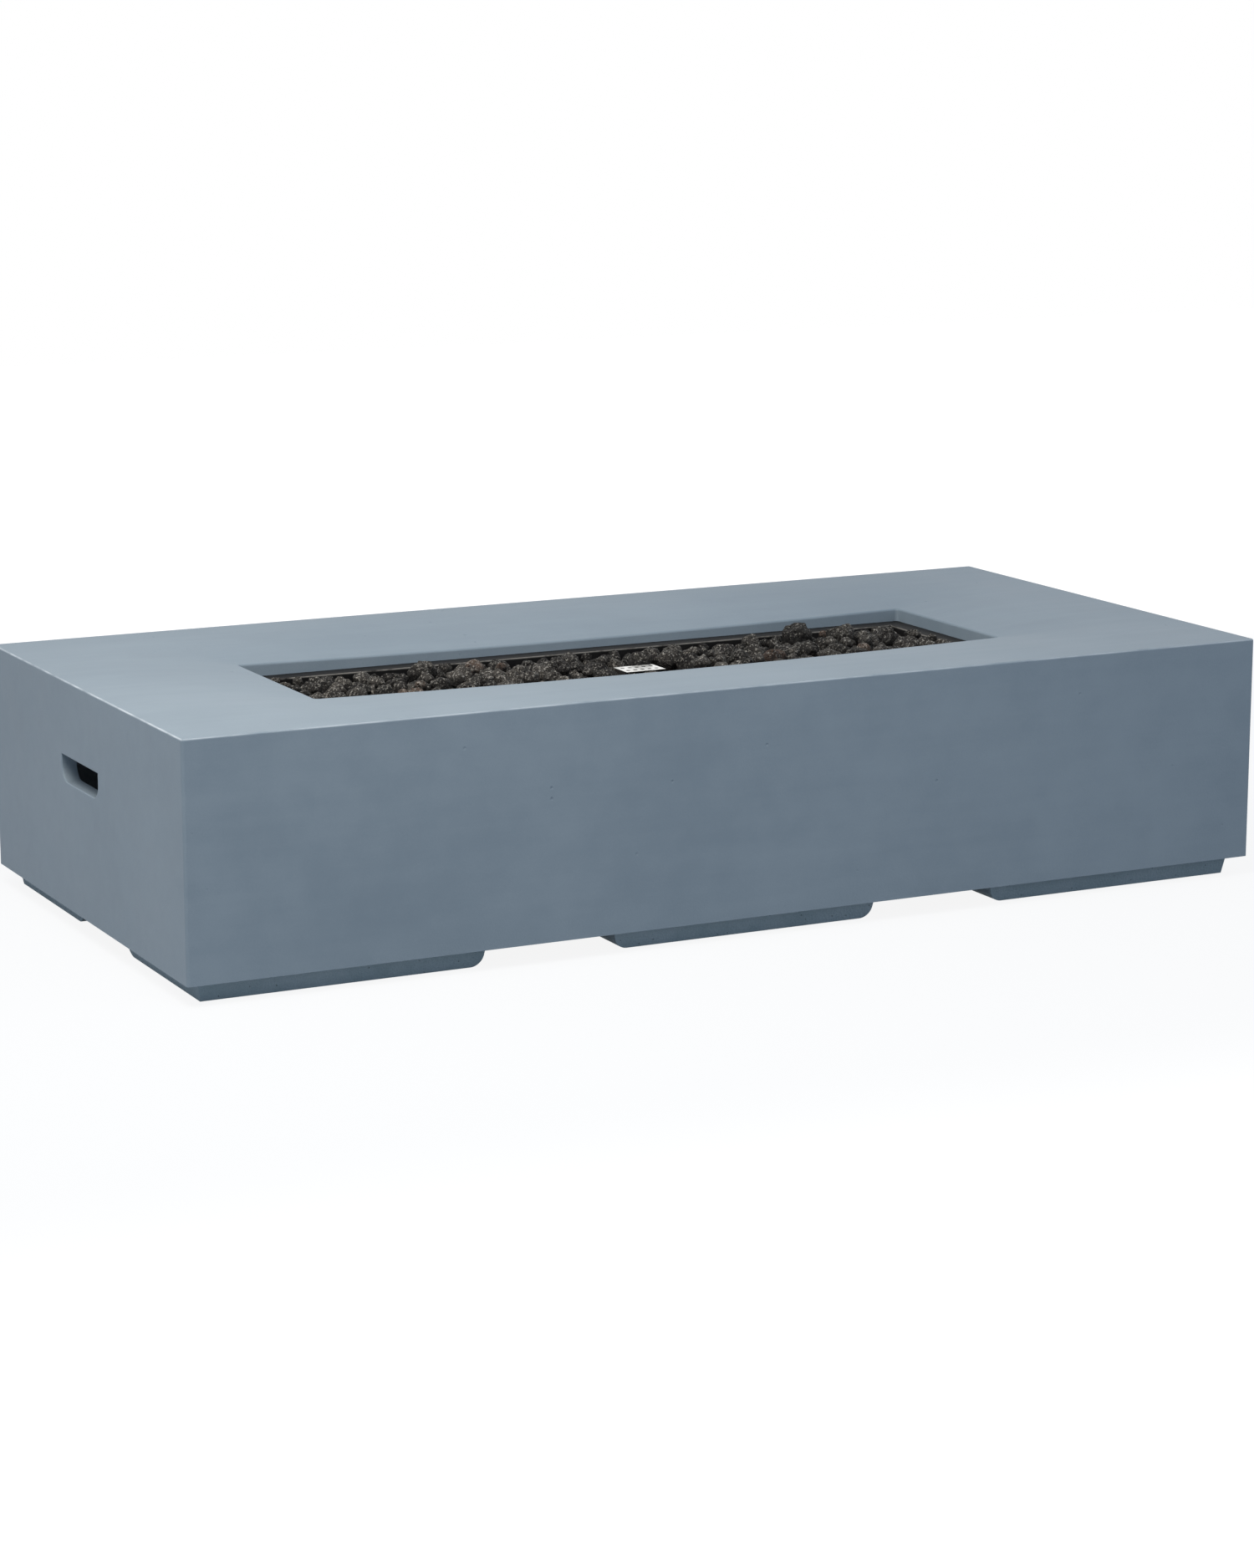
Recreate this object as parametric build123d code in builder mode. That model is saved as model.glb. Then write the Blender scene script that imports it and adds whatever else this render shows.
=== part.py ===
from build123d import *
import math
import os
import random

import numpy as np

# Low rectangular gas fire table: a cast concrete shell on six feet, a drop-in steel burner pan
# filled with lava rock, and a recessed control tray with valve and igniter in the rear wall.
# Millimetres. +X runs along the table, the front faces -Y, +Z is up.
# The origin is on the floor under the middle of the table.

# Concrete shell
TABLE_LENGTH = 1520.0
TABLE_DEPTH = 720.0
BODY_HEIGHT = 298.0
WALL = 20.0
SLAB = 28.0
BASE_LIP_THICKNESS = 20.0
EDGE_ROUND = 2.5
CORNER_ROUND = 4.0
CAVITY_ROUND = 15.0
CUT_EDGE_ROUND = 1.5

# Dished top and the recess for the pan
OPENING_LENGTH = 1000.0
OPENING_DEPTH = 268.0
OPENING_ROUND = 5.0
RIM_ROUND = 3.0
DISH_FROM_EDGE = 36.0
DISH_DROP = 12.5
DISH_SAG = 5.0
FLANGE_BELOW_TOP = 29.5
LEDGE_WIDTH = 24.0
LEDGE_THICKNESS = 20.0
COLLAR_WALL = 25.0

# Hand slots in the short walls
SLOT_WIDTH = 139.0
SLOT_HEIGHT = 34.0
SLOT_BELOW_TOP = 97.5
SLOT_TOWARD_REAR = 14.0
SLOT_TOP_ROUND = 4.0
SLOT_BOTTOM_ROUND = 20.0

# Feet and what holds them
FOOT_HEIGHT = 26.0
FOOT_INSET = 20.0
FOOT_WIDTH = 65.0
FOOT_LENGTH = 376.0
CORNER_FOOT_DEPTH = 256.0
FOOT_END_ROUND = 18.0
FOOT_DRAFT = 10.0
BOLT_RADIUS = 4.0
BOLT_HEAD_RADIUS = 6.5
BOLT_HEAD_HEIGHT = 8.0
BOLT_HEAD_RECESS = 1.0
BOLT_SOCKET_FLATS = 6.5
BOLT_SOCKET_DEPTH = 4.0
BOLT_IN_INSERT = 14.0
BOLT_FROM_END = 55.0
INSERT_RADIUS = 6.0
INSERT_LENGTH = 16.0

# Burner pan
SHEET = 1.5
PAN_DEPTH = 34.0
PAN_CLEARANCE = 3.0
FLANGE_CLEARANCE = 2.0
PAN_CORNER = 8.0
BEND_INSIDE = 1.0
DRAIN_RADIUS = 4.0
DRAIN_FROM_END = 47.5
DRAIN_FROM_SIDE = 31.5

# Burner loop
BURNER_END_GAP = 67.5
BURNER_RADIUS = 6.5
BURNER_WALL = 1.2
BURNER_RUN_Y = 50.0
BURNER_STANDOFF = 2.0
FEED_X = -80.0
NIPPLE_BELOW_PAN = 30.0
PORT_RADIUS = 1.1
PORT_COUNT = 18
CLIP_FROM_TURN = 100.0
CLIP_WIDTH = 16.0
CLIP_TAB = 12.0
SCREW_BELOW_PAN = 5.0

# Gas train under the pan
LOCKNUT_FLATS = 26.0
LOCKNUT_HEIGHT = 8.0
LOCKNUT_TO_MIXER = 4.0
MIXER_RADIUS = 12.0
MIXER_LENGTH = 57.0
MIXER_SLOT_WIDTH = 6.0
MIXER_SLOT_MARGIN = 1.5
JET_RADIUS = 6.0
JET_GRIP = 12.0
JET_FLATS = 17.0
JET_HEX = 10.0
STUB_RADIUS = 6.0
STUB_LENGTH = 14.0
STUB_BORE_RADIUS = 3.0
SUPPLY_RADIUS = 5.0
INLET_TUBE_RADIUS = 4.0
NUT_FLATS = 17.0
NUT_OVER_STUB = 5.0
NUT_OVER_TUBE = 10.0
SUPPLY_SWING = 76.0
SUPPLY_DROP = 46.0
SUPPLY_BENDS = (50.0, 38.0, 34.0)
INLET_TUBE_JOG = 8.0
INLET_TUBE_BENDS = (16.0, 16.0)

# Spark and flame sensing in the pan
PILOT_X = 16.0
PILOT_Y = -8.0
COVER_LENGTH = 58.0
COVER_DEPTH = 40.0
COVER_SHEET = 1.2
COVER_ABOVE_FLOOR = 27.5
COVER_TAB = 13.0
COVER_HOLE_RADIUS = 3.0
COVER_HOLES = 5
COVER_ROWS = 2
COVER_HOLE_FROM_END = 8.0
COVER_HOLE_FROM_SIDE = 11.5
BRACKET_SHEET = 2.0
BRACKET_DEPTH = 30.0
SENSOR_SPACING = 24.0
INSULATOR_RADIUS = 4.0
INSULATOR_COLLAR = 6.0
INSULATOR_BELOW_PAN = 8.0
ELECTRODE_RADIUS = 1.25
ELECTRODE_PROUD = 4.0
SPARK_ROOM = 8.0
SPARK_TIP = 6.0
PROBE_RADIUS = 3.0
PROBE_BELOW_PAN = 12.0
LEAD_RADIUS = 2.5
PROBE_LEAD_RADIUS = 1.5
BOOT_RADIUS = 6.0
BOOT_HEIGHT = 20.0
BOOT_NECK = 12.0
BOOT_WALL = 1.5
COVER_NUT = 3.2
COVER_NUT_FLATS = 7.0
PROBE_LEAD_DROP = 40.0
PROBE_LEAD_RUN = 110.0
PROBE_LEAD_BENDS = (34.0, 100.0)
IGNITION_LEAD_RUN = 68.0
IGNITION_LEAD_LEVEL_RUN = 106.0
IGNITION_LEAD_BENDS = (60.0, 60.0)
LEAD_CLIP_FROM_BOOT = 40.0
LEAD_CLIP_WIDTH = 8.0
LEAD_CLIP_TAB = 12.0
LEAD_CLIP_SHEET = 1.5

# Control tray in the rear wall
CONTROL_HEIGHT = 185.0
POCKET_WIDTH = 210.0
POCKET_HEIGHT = 110.0
POCKET_ROUND = 12.0
POCKET_DEPTH = 44.0
TRAY_INSIDE_POCKET = 3.0
TRAY_FLANGE = 20.0
ANCHOR_RADIUS = 4.0
ANCHOR_LENGTH = 12.0
SCREW_RADIUS = 2.0
SCREW_HEAD_RADIUS = 4.0
SCREW_HEAD = 2.2

# Valve and knob
KNOB_X = -50.0
VALVE_WIDTH = 46.0
VALVE_HEIGHT = 44.0
VALVE_DEPTH = 40.0
MAGNET_RADIUS = 12.0
MAGNET_END_WALL = 6.5
MAGNET_STUB_RADIUS = 3.0
MAGNET_STUB_LENGTH = 10.0
VALVE_EDGE_ROUND = 6.0
VALVE_SCREW_DEPTH = 12.0
VALVE_SCREW_SPACING = 34.0
STEM_RADIUS = 5.0
STEM_IN_VALVE = 24.0
STEM_FLAT_CUT = 1.5
STEM_WALL = 2.0
PUSH_TRAVEL = 6.0
PUSH_ROD_RADIUS = 2.0
PUSH_TIP_OUT = 2.0
PUSH_PLUG_LENGTH = 10.0
PUSH_COLLAR_CLEARANCE = 0.5
PUSH_COLLAR = 2.0
RETURN_SPRING_PRESSED = 14.0
RETURN_SPRING_TURNS = 7
SPRING_FLOOR = 4.0
CHAMBER_SPARE = 4.0
CHAMBER_RADIUS = 6.0
RETURN_SPRING_RADIUS = 3.3
SPRING_WIRE = 0.4
KNOB_RADIUS = 21.0
KNOB_HEIGHT = 22.0
KNOB_GAP = 0.8
KNOB_CAP = 6.0
KNOB_FLUTES = 12
FLUTE_RADIUS = 6.0
FLUTE_DEPTH = 1.5
KNOB_EDGE_ROUND = 1.5
POINTER_WIDTH = 3.0
POINTER_DEPTH = 1.5
POINTER_FROM_EDGE = 4.5
SET_SCREW_LENGTH = 11.5
BEZEL_MARGIN = 11.0
BEZEL_SHEET = 1.5
DIAL_SWEEP = 210.0
DIAL_MARKS = 8
MARK_LENGTH = 5.0
MARK_WIDTH = 1.4
MARK_HEIGHT = 0.4

# Igniter
IGNITER_X = 62.0
IGNITER_WALL = 2.85
IGNITER_FLANGE_WIDTH = 3.1
IGNITER_FLANGE_HEIGHT = 3.0
IGNITER_LIP = 2.0
IGNITER_EDGE_ROUND = 0.75
IGNITER_NUT_WALL = 2.6
IGNITER_NUT = 6.0
BUTTON_SHOULDER = 1.0
BUTTON_SKIRT = 7.0
BUTTON_PROUD_PRESSED = 2.0
BUTTON_EDGE_ROUND = 1.5
BUTTON_TRAVEL = 4.0
IGNITER_SPRING_PRESSED = 5.0
IGNITER_SPRING_TURNS = 4
IGNITER_SPRING_RADIUS = 5.0
BATTERY_RADIUS = 7.15
BATTERY_LENGTH = 50.3
BATTERY_CLEARANCE = 0.9
BATTERY_NUB = 1.5
BATTERY_NUB_RADIUS = 2.4
END_CAP = 6.0
END_CAP_PLUG = 4.0
TERMINAL_LENGTH = 6.0

# Gas inlet
INLET_FROM_LIP = 25.0
INLET_PIN_RADIUS = 7.94
INLET_PIN_LENGTH = 18.5
INLET_SHANK_RADIUS = 8.4
INLET_BORE_RADIUS = 3.25
INLET_HEX = 12.0
INLET_FLATS = 22.0
INLET_STUB_RADIUS = 5.0
INLET_LOCKNUT = 6.0
INLET_LOCKNUT_FLATS = 24.0
INLET_BRACKET_SHEET = 2.5
INLET_BRACKET_SETBACK = 12.0
INLET_BRACKET_WIDTH = 44.0
INLET_BRACKET_RISE = 16.0
INLET_BRACKET_FOOT = 45.0
INLET_BRACKET_SCREWS = 24.0

# Lava rock
ROCK_SMALL = 9.5
ROCK_LARGE = 28.0
ROCK_SHAPES = 12
ROCK_FACES = 15
ROCK_AXES = (1.0, 0.86, 0.74)
ROCK_TILT = 0.08
ROCK_TWIST = 0.35
ROCK_WEAR = 0.86
ROCK_PASSES = 4
ROCK_CLEARANCE = 0.4
ROCK_GRID = 1.0
ROCK_LEVEL = 15.0
ROCK_FALL = 0.1
COVER_SIGHT = 0.2
COVER_SIDE = 45.0
ROCK_TRIES = 120
ROCK_MISSES = 30
ROCK_SEED = 11
CROWN_PLACES = (
    (228.0, 60.0, 13.0), (302.0, 60.0, 2.0), (380.0, 60.0, 10.0), (435.0, 30.0, 15.0), (-290.0, 60.0, 11.0),
    (-207.0, 60.0, 14.0),
)
END_ROCKS = 5
END_SHARE = 0.72
END_BELOW_TOP = 14.0

# Fits
RUNNING_FIT = 0.05
SLIP_FIT = 0.1
HOLE_CLEARANCE = 0.3
SEAT_GAP = 0.3
TOUCH = 0.01

# Levels worked out from the driving dimensions
body_bottom = FOOT_HEIGHT
body_top = body_bottom + BODY_HEIGHT
lip_top = body_bottom + BASE_LIP_THICKNESS
slab_bottom = body_top - SLAB
rim_z = body_top - DISH_DROP
flange_top = body_top - FLANGE_BELOW_TOP
ledge_z = flange_top - SHEET
collar_bottom = ledge_z - LEDGE_THICKNESS
pan_floor = flange_top - PAN_DEPTH
pan_bottom = pan_floor - SHEET
burner_z = pan_floor + BURNER_STANDOFF + BURNER_RADIUS
rear_y = TABLE_DEPTH / 2
base_lip = FOOT_INSET + FOOT_WIDTH
wall_inner = rear_y - WALL
UP = (0, 0, 1)
DOWN = (0, 0, -1)
REAR = (0, 1, 0)
INWARD = (0, -1, 0)

# Plan sizes worked out from the driving dimensions
ledge_length = OPENING_LENGTH - 2 * LEDGE_WIDTH
ledge_depth = OPENING_DEPTH - 2 * LEDGE_WIDTH
pan_length = ledge_length - 2 * PAN_CLEARANCE
pan_width = ledge_depth - 2 * PAN_CLEARANCE
pan_inside_length = pan_length - 2 * SHEET
pan_inside_width = pan_width - 2 * SHEET
flange_length = OPENING_LENGTH - 2 * FLANGE_CLEARANCE
flange_width = OPENING_DEPTH - 2 * FLANGE_CLEARANCE
side_margin = (TABLE_DEPTH - OPENING_DEPTH) / 2
end_margin = (TABLE_LENGTH - OPENING_LENGTH) / 2
dish_width = min(side_margin, end_margin) - DISH_FROM_EDGE
burner_length = pan_inside_length - 2 * BURNER_END_GAP

os.makedirs("parts", exist_ok=True)


def save(piece, name):
    """Label a finished piece and write it."""
    piece.label = name
    export_step(piece, f"parts/{name}.step")


def rod(start, direction, length, radius, mode=Mode.ADD):
    """Cylinder that starts at a point and runs in a direction."""
    with Locations(Plane(origin=start, z_dir=direction)):
        Cylinder(radius, length, align=(Align.CENTER, Align.CENTER, Align.MIN), mode=mode)


def block(low, high, mode=Mode.ADD):
    """Box between two opposite corners."""
    size = [b - a for a, b in zip(low, high)]
    middle = tuple((a + b) / 2 for a, b in zip(low, high))
    with Locations(middle):
        Box(*size, mode=mode)


def hexagon(start, direction, length, across_flats, mode=Mode.ADD):
    """Hexagonal prism that starts at a point and runs in a direction."""
    with BuildSketch(Plane(origin=start, z_dir=direction)) as outline:
        RegularPolygon(across_flats / 2, 6, major_radius=False)
    extrude(outline.sketch, amount=length, mode=mode)


def rounded_slab(length, depth, corner, low, high, mode=Mode.ADD):
    """Plate with rounded corners, centred on the table, between two levels."""
    with BuildSketch(Plane.XY.offset(low)) as outline:
        RectangleRounded(length, depth, corner)
    extrude(outline.sketch, amount=high - low, mode=mode)


def control_slab(width, height, corner, inner_y, outer_y, mode=Mode.ADD):
    """Upright plate with rounded corners, centred on the control pocket."""
    with BuildSketch(Plane(origin=(0, inner_y, CONTROL_HEIGHT), x_dir=(1, 0, 0), z_dir=REAR)) as outline:
        RectangleRounded(width, height, corner)
    extrude(outline.sketch, amount=outer_y - inner_y, mode=mode)


def flare_nut(seat, direction, stub_radius, tube_radius):
    """Nut that joins a tube to a stub: the tube starts at the seat and runs in the direction."""
    back = Vector(seat) - Vector(direction) * NUT_OVER_STUB
    hexagon(back, direction, NUT_OVER_STUB + NUT_OVER_TUBE, NUT_FLATS)
    rod(back, direction, NUT_OVER_STUB + SLIP_FIT, stub_radius + SLIP_FIT, Mode.SUBTRACT)
    rod(seat, direction, NUT_OVER_TUBE, tube_radius + SLIP_FIT, Mode.SUBTRACT)


def bent_rod(points, radii, radius, name):
    """Round tube or lead along straight runs joined by arcs."""
    with BuildPart() as bent:
        with BuildLine() as route:
            FilletPolyline(*points, radius=list(radii))
        path = route.wire()
        with BuildSketch(Plane(origin=path @ 0, z_dir=path % 0)):
            Circle(radius)
        sweep(path=path)
    expected = math.pi * radius**2 * path.length
    print(f"{name}: length {path.length:.1f}, volume ratio {bent.part.volume / expected:.4f}")
    return bent.part


def coil(base, length, mean_radius, turns):
    """Wire of a compression spring that stands on a point and runs toward the rear."""
    start = Vector(base) + Vector(REAR) * (SPRING_WIRE + RUNNING_FIT)
    rise = length - 2 * (SPRING_WIRE + RUNNING_FIT)
    with BuildPart() as spring:
        with BuildLine() as helix:
            Helix(pitch=rise / turns, height=rise, radius=mean_radius, center=start, direction=REAR)
        path = helix.wire()
        with BuildSketch(Plane(origin=path @ 0, z_dir=path % 0)):
            Circle(SPRING_WIRE)
        sweep(path=path, is_frenet=True)
    return spring.part


# Feet: outlines, bolts and their places
def corner_foot_corner(side_x, side_y):
    """Outer corner of a corner foot."""
    return side_x * (TABLE_LENGTH / 2 - FOOT_INSET), side_y * (TABLE_DEPTH / 2 - FOOT_INSET)


def corner_foot_outline(side_x, side_y):
    """L-shaped plan of a corner foot at its top."""
    x, y = corner_foot_corner(side_x, side_y)
    far_x = x - side_x * FOOT_LENGTH
    far_y = y - side_y * CORNER_FOOT_DEPTH
    near_x = x - side_x * FOOT_WIDTH
    near_y = y - side_y * FOOT_WIDTH
    return [(x, y), (far_x, y), (far_x, near_y), (near_x, near_y), (near_x, far_y), (x, far_y)]


def corner_foot_bolts(side_x, side_y):
    """Bolt places of a corner foot."""
    x, y = corner_foot_corner(side_x, side_y)
    mid_x = x - side_x * FOOT_WIDTH / 2
    mid_y = y - side_y * FOOT_WIDTH / 2
    return [
        (mid_x, mid_y),
        (x - side_x * (FOOT_LENGTH - BOLT_FROM_END), mid_y),
        (mid_x, y - side_y * (CORNER_FOOT_DEPTH - BOLT_FROM_END)),
    ]


def centre_foot_outline(side_y):
    """Straight plan of a centre foot at its top."""
    outer_y = side_y * (TABLE_DEPTH / 2 - FOOT_INSET)
    inner_y = outer_y - side_y * FOOT_WIDTH
    half = FOOT_LENGTH / 2
    return [(-half, outer_y), (half, outer_y), (half, inner_y), (-half, inner_y)]


def centre_foot_bolts(side_y):
    """Bolt places of a centre foot."""
    mid_y = side_y * (TABLE_DEPTH / 2 - FOOT_INSET - FOOT_WIDTH / 2)
    reach = FOOT_LENGTH / 2 - BOLT_FROM_END
    return [(-reach, mid_y), (reach, mid_y)]


def cast_foot(outline, bolts, round_ends):
    """Drafted foot with bolt holes: round_ends picks the lower edges at its exposed ends."""
    shrink = FOOT_HEIGHT * math.tan(math.radians(FOOT_DRAFT))
    end_round = min(FOOT_END_ROUND, 0.7 * FOOT_HEIGHT)
    with BuildPart() as foot:
        with BuildSketch():
            with BuildLine():
                Polyline(*outline, close=True)
            make_face()
            offset(amount=-shrink, kind=Kind.INTERSECTION, mode=Mode.REPLACE)
        extrude(amount=FOOT_HEIGHT, taper=-FOOT_DRAFT)
        underside = foot.faces().sort_by(Axis.Z)[0]
        fillet(round_ends(underside.edges()), end_round)
        for x, y in bolts:
            head_depth = BOLT_HEAD_RECESS + BOLT_HEAD_HEIGHT
            rod((x, y, 0), UP, head_depth, BOLT_HEAD_RADIUS + HOLE_CLEARANCE, Mode.SUBTRACT)
            rod((x, y, 0), UP, FOOT_HEIGHT, BOLT_RADIUS + HOLE_CLEARANCE, Mode.SUBTRACT)
    return foot.part


bolt_places = []
for side_y, row in ((-1, "front"), (1, "rear")):
    for side_x, end in ((-1, "left"), (1, "right")):
        places = corner_foot_bolts(side_x, side_y)

        def corner_ends(edges, side_x=side_x, side_y=side_y):
            """Lower edges at the ends of both legs, away from the corner."""
            across = edges.filter_by(Axis.Y).sort_by(lambda e: side_x * e.center().X)[0]
            along = edges.filter_by(Axis.X).sort_by(lambda e: side_y * e.center().Y)[0]
            return [across, along]

        foot_part = cast_foot(corner_foot_outline(side_x, side_y), places, corner_ends)
        save(foot_part, f"foot_{row}_{end}")
        bolt_places += places
    places = centre_foot_bolts(side_y)
    foot_part = cast_foot(centre_foot_outline(side_y), places, lambda edges: edges.filter_by(Axis.Y))
    save(foot_part, f"foot_{row}_centre")
    bolt_places += places

with BuildPart() as foot_bolts:
    for x, y in bolt_places:
        rod((x, y, BOLT_HEAD_RECESS), UP, BOLT_HEAD_HEIGHT, BOLT_HEAD_RADIUS)
        shank_bottom = BOLT_HEAD_RECESS + BOLT_HEAD_HEIGHT
        rod((x, y, shank_bottom), UP, body_bottom + BOLT_IN_INSERT - shank_bottom, BOLT_RADIUS)
        hexagon((x, y, BOLT_HEAD_RECESS), UP, BOLT_SOCKET_DEPTH, BOLT_SOCKET_FLATS, Mode.SUBTRACT)
save(foot_bolts.part, "foot_bolts")

with BuildPart() as foot_inserts:
    for x, y in bolt_places:
        rod((x, y, body_bottom), UP, INSERT_LENGTH, INSERT_RADIUS)
        rod((x, y, body_bottom), UP, INSERT_LENGTH, BOLT_RADIUS + RUNNING_FIT, Mode.SUBTRACT)
save(foot_inserts.part, "foot_inserts")

# Places of the anchors for the control tray and the inlet bracket
anchor_x = POCKET_WIDTH / 2 + TRAY_FLANGE / 2
anchor_z = POCKET_HEIGHT / 2 + TRAY_FLANGE / 2
anchor_levels = [CONTROL_HEIGHT + side * anchor_z for side in (-1, 1)]
tray_anchors = [(side * anchor_x, wall_inner, level) for side in (-1, 1) for level in anchor_levels]
base_opening_y = rear_y - base_lip
inlet_y = base_opening_y - INLET_FROM_LIP
bracket_riser_y = base_opening_y + INLET_BRACKET_SETBACK
bracket_screw_y = bracket_riser_y + INLET_BRACKET_FOOT / 2 + INLET_BRACKET_SHEET
bracket_anchors = [(KNOB_X + s * INLET_BRACKET_SCREWS / 2, bracket_screw_y, lip_top) for s in (-1, 1)]

# Table shell
dish_reach = dish_width + OPENING_ROUND


def dish_section(plane, drop=DISH_DROP):
    """Section of what the dish takes off the slab, outward from the dish's inner line."""
    above = body_top + DISH_DROP
    radius = (dish_width**2 + drop**2) / (2 * drop)
    levels = [body_top - radius + math.sqrt(radius**2 - run**2) for run in (dish_reach, dish_reach / 2)]
    with BuildSketch(plane) as section:
        with BuildLine():
            inner = (0, levels[0])
            outer = (dish_reach, body_top)
            ThreePointArc(inner, (dish_reach / 2, levels[1]), outer)
            Polyline(outer, (dish_reach, above), (0, above), inner)
        make_face()
    return section.sketch


with BuildPart() as table_shell:
    rounded_slab(TABLE_LENGTH, TABLE_DEPTH, CORNER_ROUND, body_bottom, body_top)
    fillet(table_shell.faces().sort_by(Axis.Z)[-1].edges(), min(EDGE_ROUND, 0.8 * CORNER_ROUND))
    inner_length = TABLE_LENGTH - 2 * WALL
    inner_depth = TABLE_DEPTH - 2 * WALL
    rounded_slab(inner_length, inner_depth, CAVITY_ROUND, lip_top, slab_bottom, Mode.SUBTRACT)
    base_length = TABLE_LENGTH - 2 * base_lip
    base_depth = TABLE_DEPTH - 2 * base_lip
    rounded_slab(base_length, base_depth, CAVITY_ROUND, body_bottom, lip_top, Mode.SUBTRACT)
    collar_length = OPENING_LENGTH + 2 * COLLAR_WALL
    collar_depth = OPENING_DEPTH + 2 * COLLAR_WALL
    rounded_slab(collar_length, collar_depth, CAVITY_ROUND, collar_bottom, slab_bottom)
    dish_x = OPENING_LENGTH / 2 - OPENING_ROUND
    dish_y = OPENING_DEPTH / 2 - OPENING_ROUND
    corners = [(dish_x, dish_y), (dish_x, -dish_y), (-dish_x, -dish_y), (-dish_x, dish_y)]
    for index, corner in enumerate(corners):
        start = Vector(*corner, 0)
        end = Vector(*corners[(index + 1) % 4], 0)
        along = end - start
        outward = Vector(0, 0, 1).cross(along).normalized()
        first, middle, last = [
            Plane(start + along * share, x_dir=outward, z_dir=along.normalized()) for share in (0, 0.5, 1)
        ]
        if along.X:
            # The long sides sag toward their middle
            sections = [dish_section(first), dish_section(middle, DISH_DROP + DISH_SAG), dish_section(last)]
            loft(sections, mode=Mode.SUBTRACT)
        else:
            extrude(dish_section(first), amount=along.length, mode=Mode.SUBTRACT)
        revolve(dish_section(last), Axis(end, DOWN), revolution_arc=90, mode=Mode.SUBTRACT)
    rounded_slab(OPENING_LENGTH, OPENING_DEPTH, OPENING_ROUND, ledge_z, body_top, Mode.SUBTRACT)
    rounded_slab(ledge_length, ledge_depth, OPENING_ROUND, collar_bottom, ledge_z, Mode.SUBTRACT)
    rim = table_shell.edges().filter_by_position(Axis.Z, rim_z - DISH_SAG - TOUCH, rim_z + TOUCH)
    fillet(rim, RIM_ROUND)
    slot_z = body_top - SLOT_BELOW_TOP - SLOT_HEIGHT / 2
    slot_bottom_round = min(SLOT_BOTTOM_ROUND, 0.9 * (SLOT_HEIGHT - SLOT_TOP_ROUND))
    for side in (-1, 1):
        face_x = side * TABLE_LENGTH / 2
        wall_plane = Plane((face_x, SLOT_TOWARD_REAR, slot_z), x_dir=(0, side, 0), z_dir=(side, 0, 0))
        with BuildSketch(wall_plane) as slot:
            Rectangle(SLOT_WIDTH, SLOT_HEIGHT)
            low = slot.vertices().group_by(Axis.Y)[0]
            high = slot.vertices().group_by(Axis.Y)[-1]
            fillet(low, slot_bottom_round)
            fillet(high, SLOT_TOP_ROUND)
        extrude(amount=-WALL, mode=Mode.SUBTRACT)
        slot_edges = table_shell.edges().filter_by_position(Axis.X, face_x - TOUCH, face_x + TOUCH)
        slot_low = slot_z - SLOT_HEIGHT / 2 - TOUCH
        slot_high = slot_z + SLOT_HEIGHT / 2 + TOUCH
        slot_edges = slot_edges.filter_by_position(Axis.Z, slot_low, slot_high)
        slot_near = SLOT_TOWARD_REAR - SLOT_WIDTH / 2 - TOUCH
        slot_edges = slot_edges.filter_by_position(Axis.Y, slot_near, slot_near + SLOT_WIDTH + 2 * TOUCH)
        fillet(slot_edges, CUT_EDGE_ROUND)
    control_slab(POCKET_WIDTH, POCKET_HEIGHT, POCKET_ROUND, wall_inner, rear_y, Mode.SUBTRACT)
    pocket_edges = table_shell.edges().filter_by_position(Axis.Y, rear_y - TOUCH, rear_y + TOUCH)
    pocket_end = POCKET_WIDTH / 2 + TOUCH
    pocket_edges = pocket_edges.filter_by_position(Axis.X, -pocket_end, pocket_end)
    pocket_low = CONTROL_HEIGHT - POCKET_HEIGHT / 2 - TOUCH
    pocket_high = CONTROL_HEIGHT + POCKET_HEIGHT / 2 + TOUCH
    pocket_edges = pocket_edges.filter_by_position(Axis.Z, pocket_low, pocket_high)
    fillet(pocket_edges, CUT_EDGE_ROUND)
    for x, y in bolt_places:
        rod((x, y, body_bottom), UP, INSERT_LENGTH, INSERT_RADIUS, Mode.SUBTRACT)
    for place in tray_anchors:
        rod(place, REAR, ANCHOR_LENGTH, ANCHOR_RADIUS, Mode.SUBTRACT)
    for place in bracket_anchors:
        rod(place, DOWN, ANCHOR_LENGTH, ANCHOR_RADIUS, Mode.SUBTRACT)
save(table_shell.part, "table_shell")

with BuildPart() as screw_anchors:
    for place, direction in [(p, REAR) for p in tray_anchors] + [(p, DOWN) for p in bracket_anchors]:
        rod(place, direction, ANCHOR_LENGTH, ANCHOR_RADIUS)
        rod(place, direction, ANCHOR_LENGTH, SCREW_RADIUS + RUNNING_FIT, Mode.SUBTRACT)
save(screw_anchors.part, "screw_anchors")

# Burner pan
loop_end = burner_length / 2 - BURNER_RUN_Y
clip_x = loop_end - CLIP_FROM_TURN
clip_places = [(sx * clip_x, sy * BURNER_RUN_Y) for sx in (-1, 1) for sy in (-1, 1)]
clip_leg = BURNER_RADIUS + SLIP_FIT + SHEET
clip_screw = clip_leg + CLIP_TAB / 2
clip_screws = [(x, y + s * clip_screw) for x, y in clip_places for s in (-1, 1)]
cover_screw = COVER_LENGTH / 2 + COVER_TAB / 2
cover_screws_at = [(PILOT_X + s * cover_screw, PILOT_Y) for s in (-1, 1)]
electrode_at = (PILOT_X - SENSOR_SPACING / 2, PILOT_Y)
probe_at = (PILOT_X + SENSOR_SPACING / 2, PILOT_Y)

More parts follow.
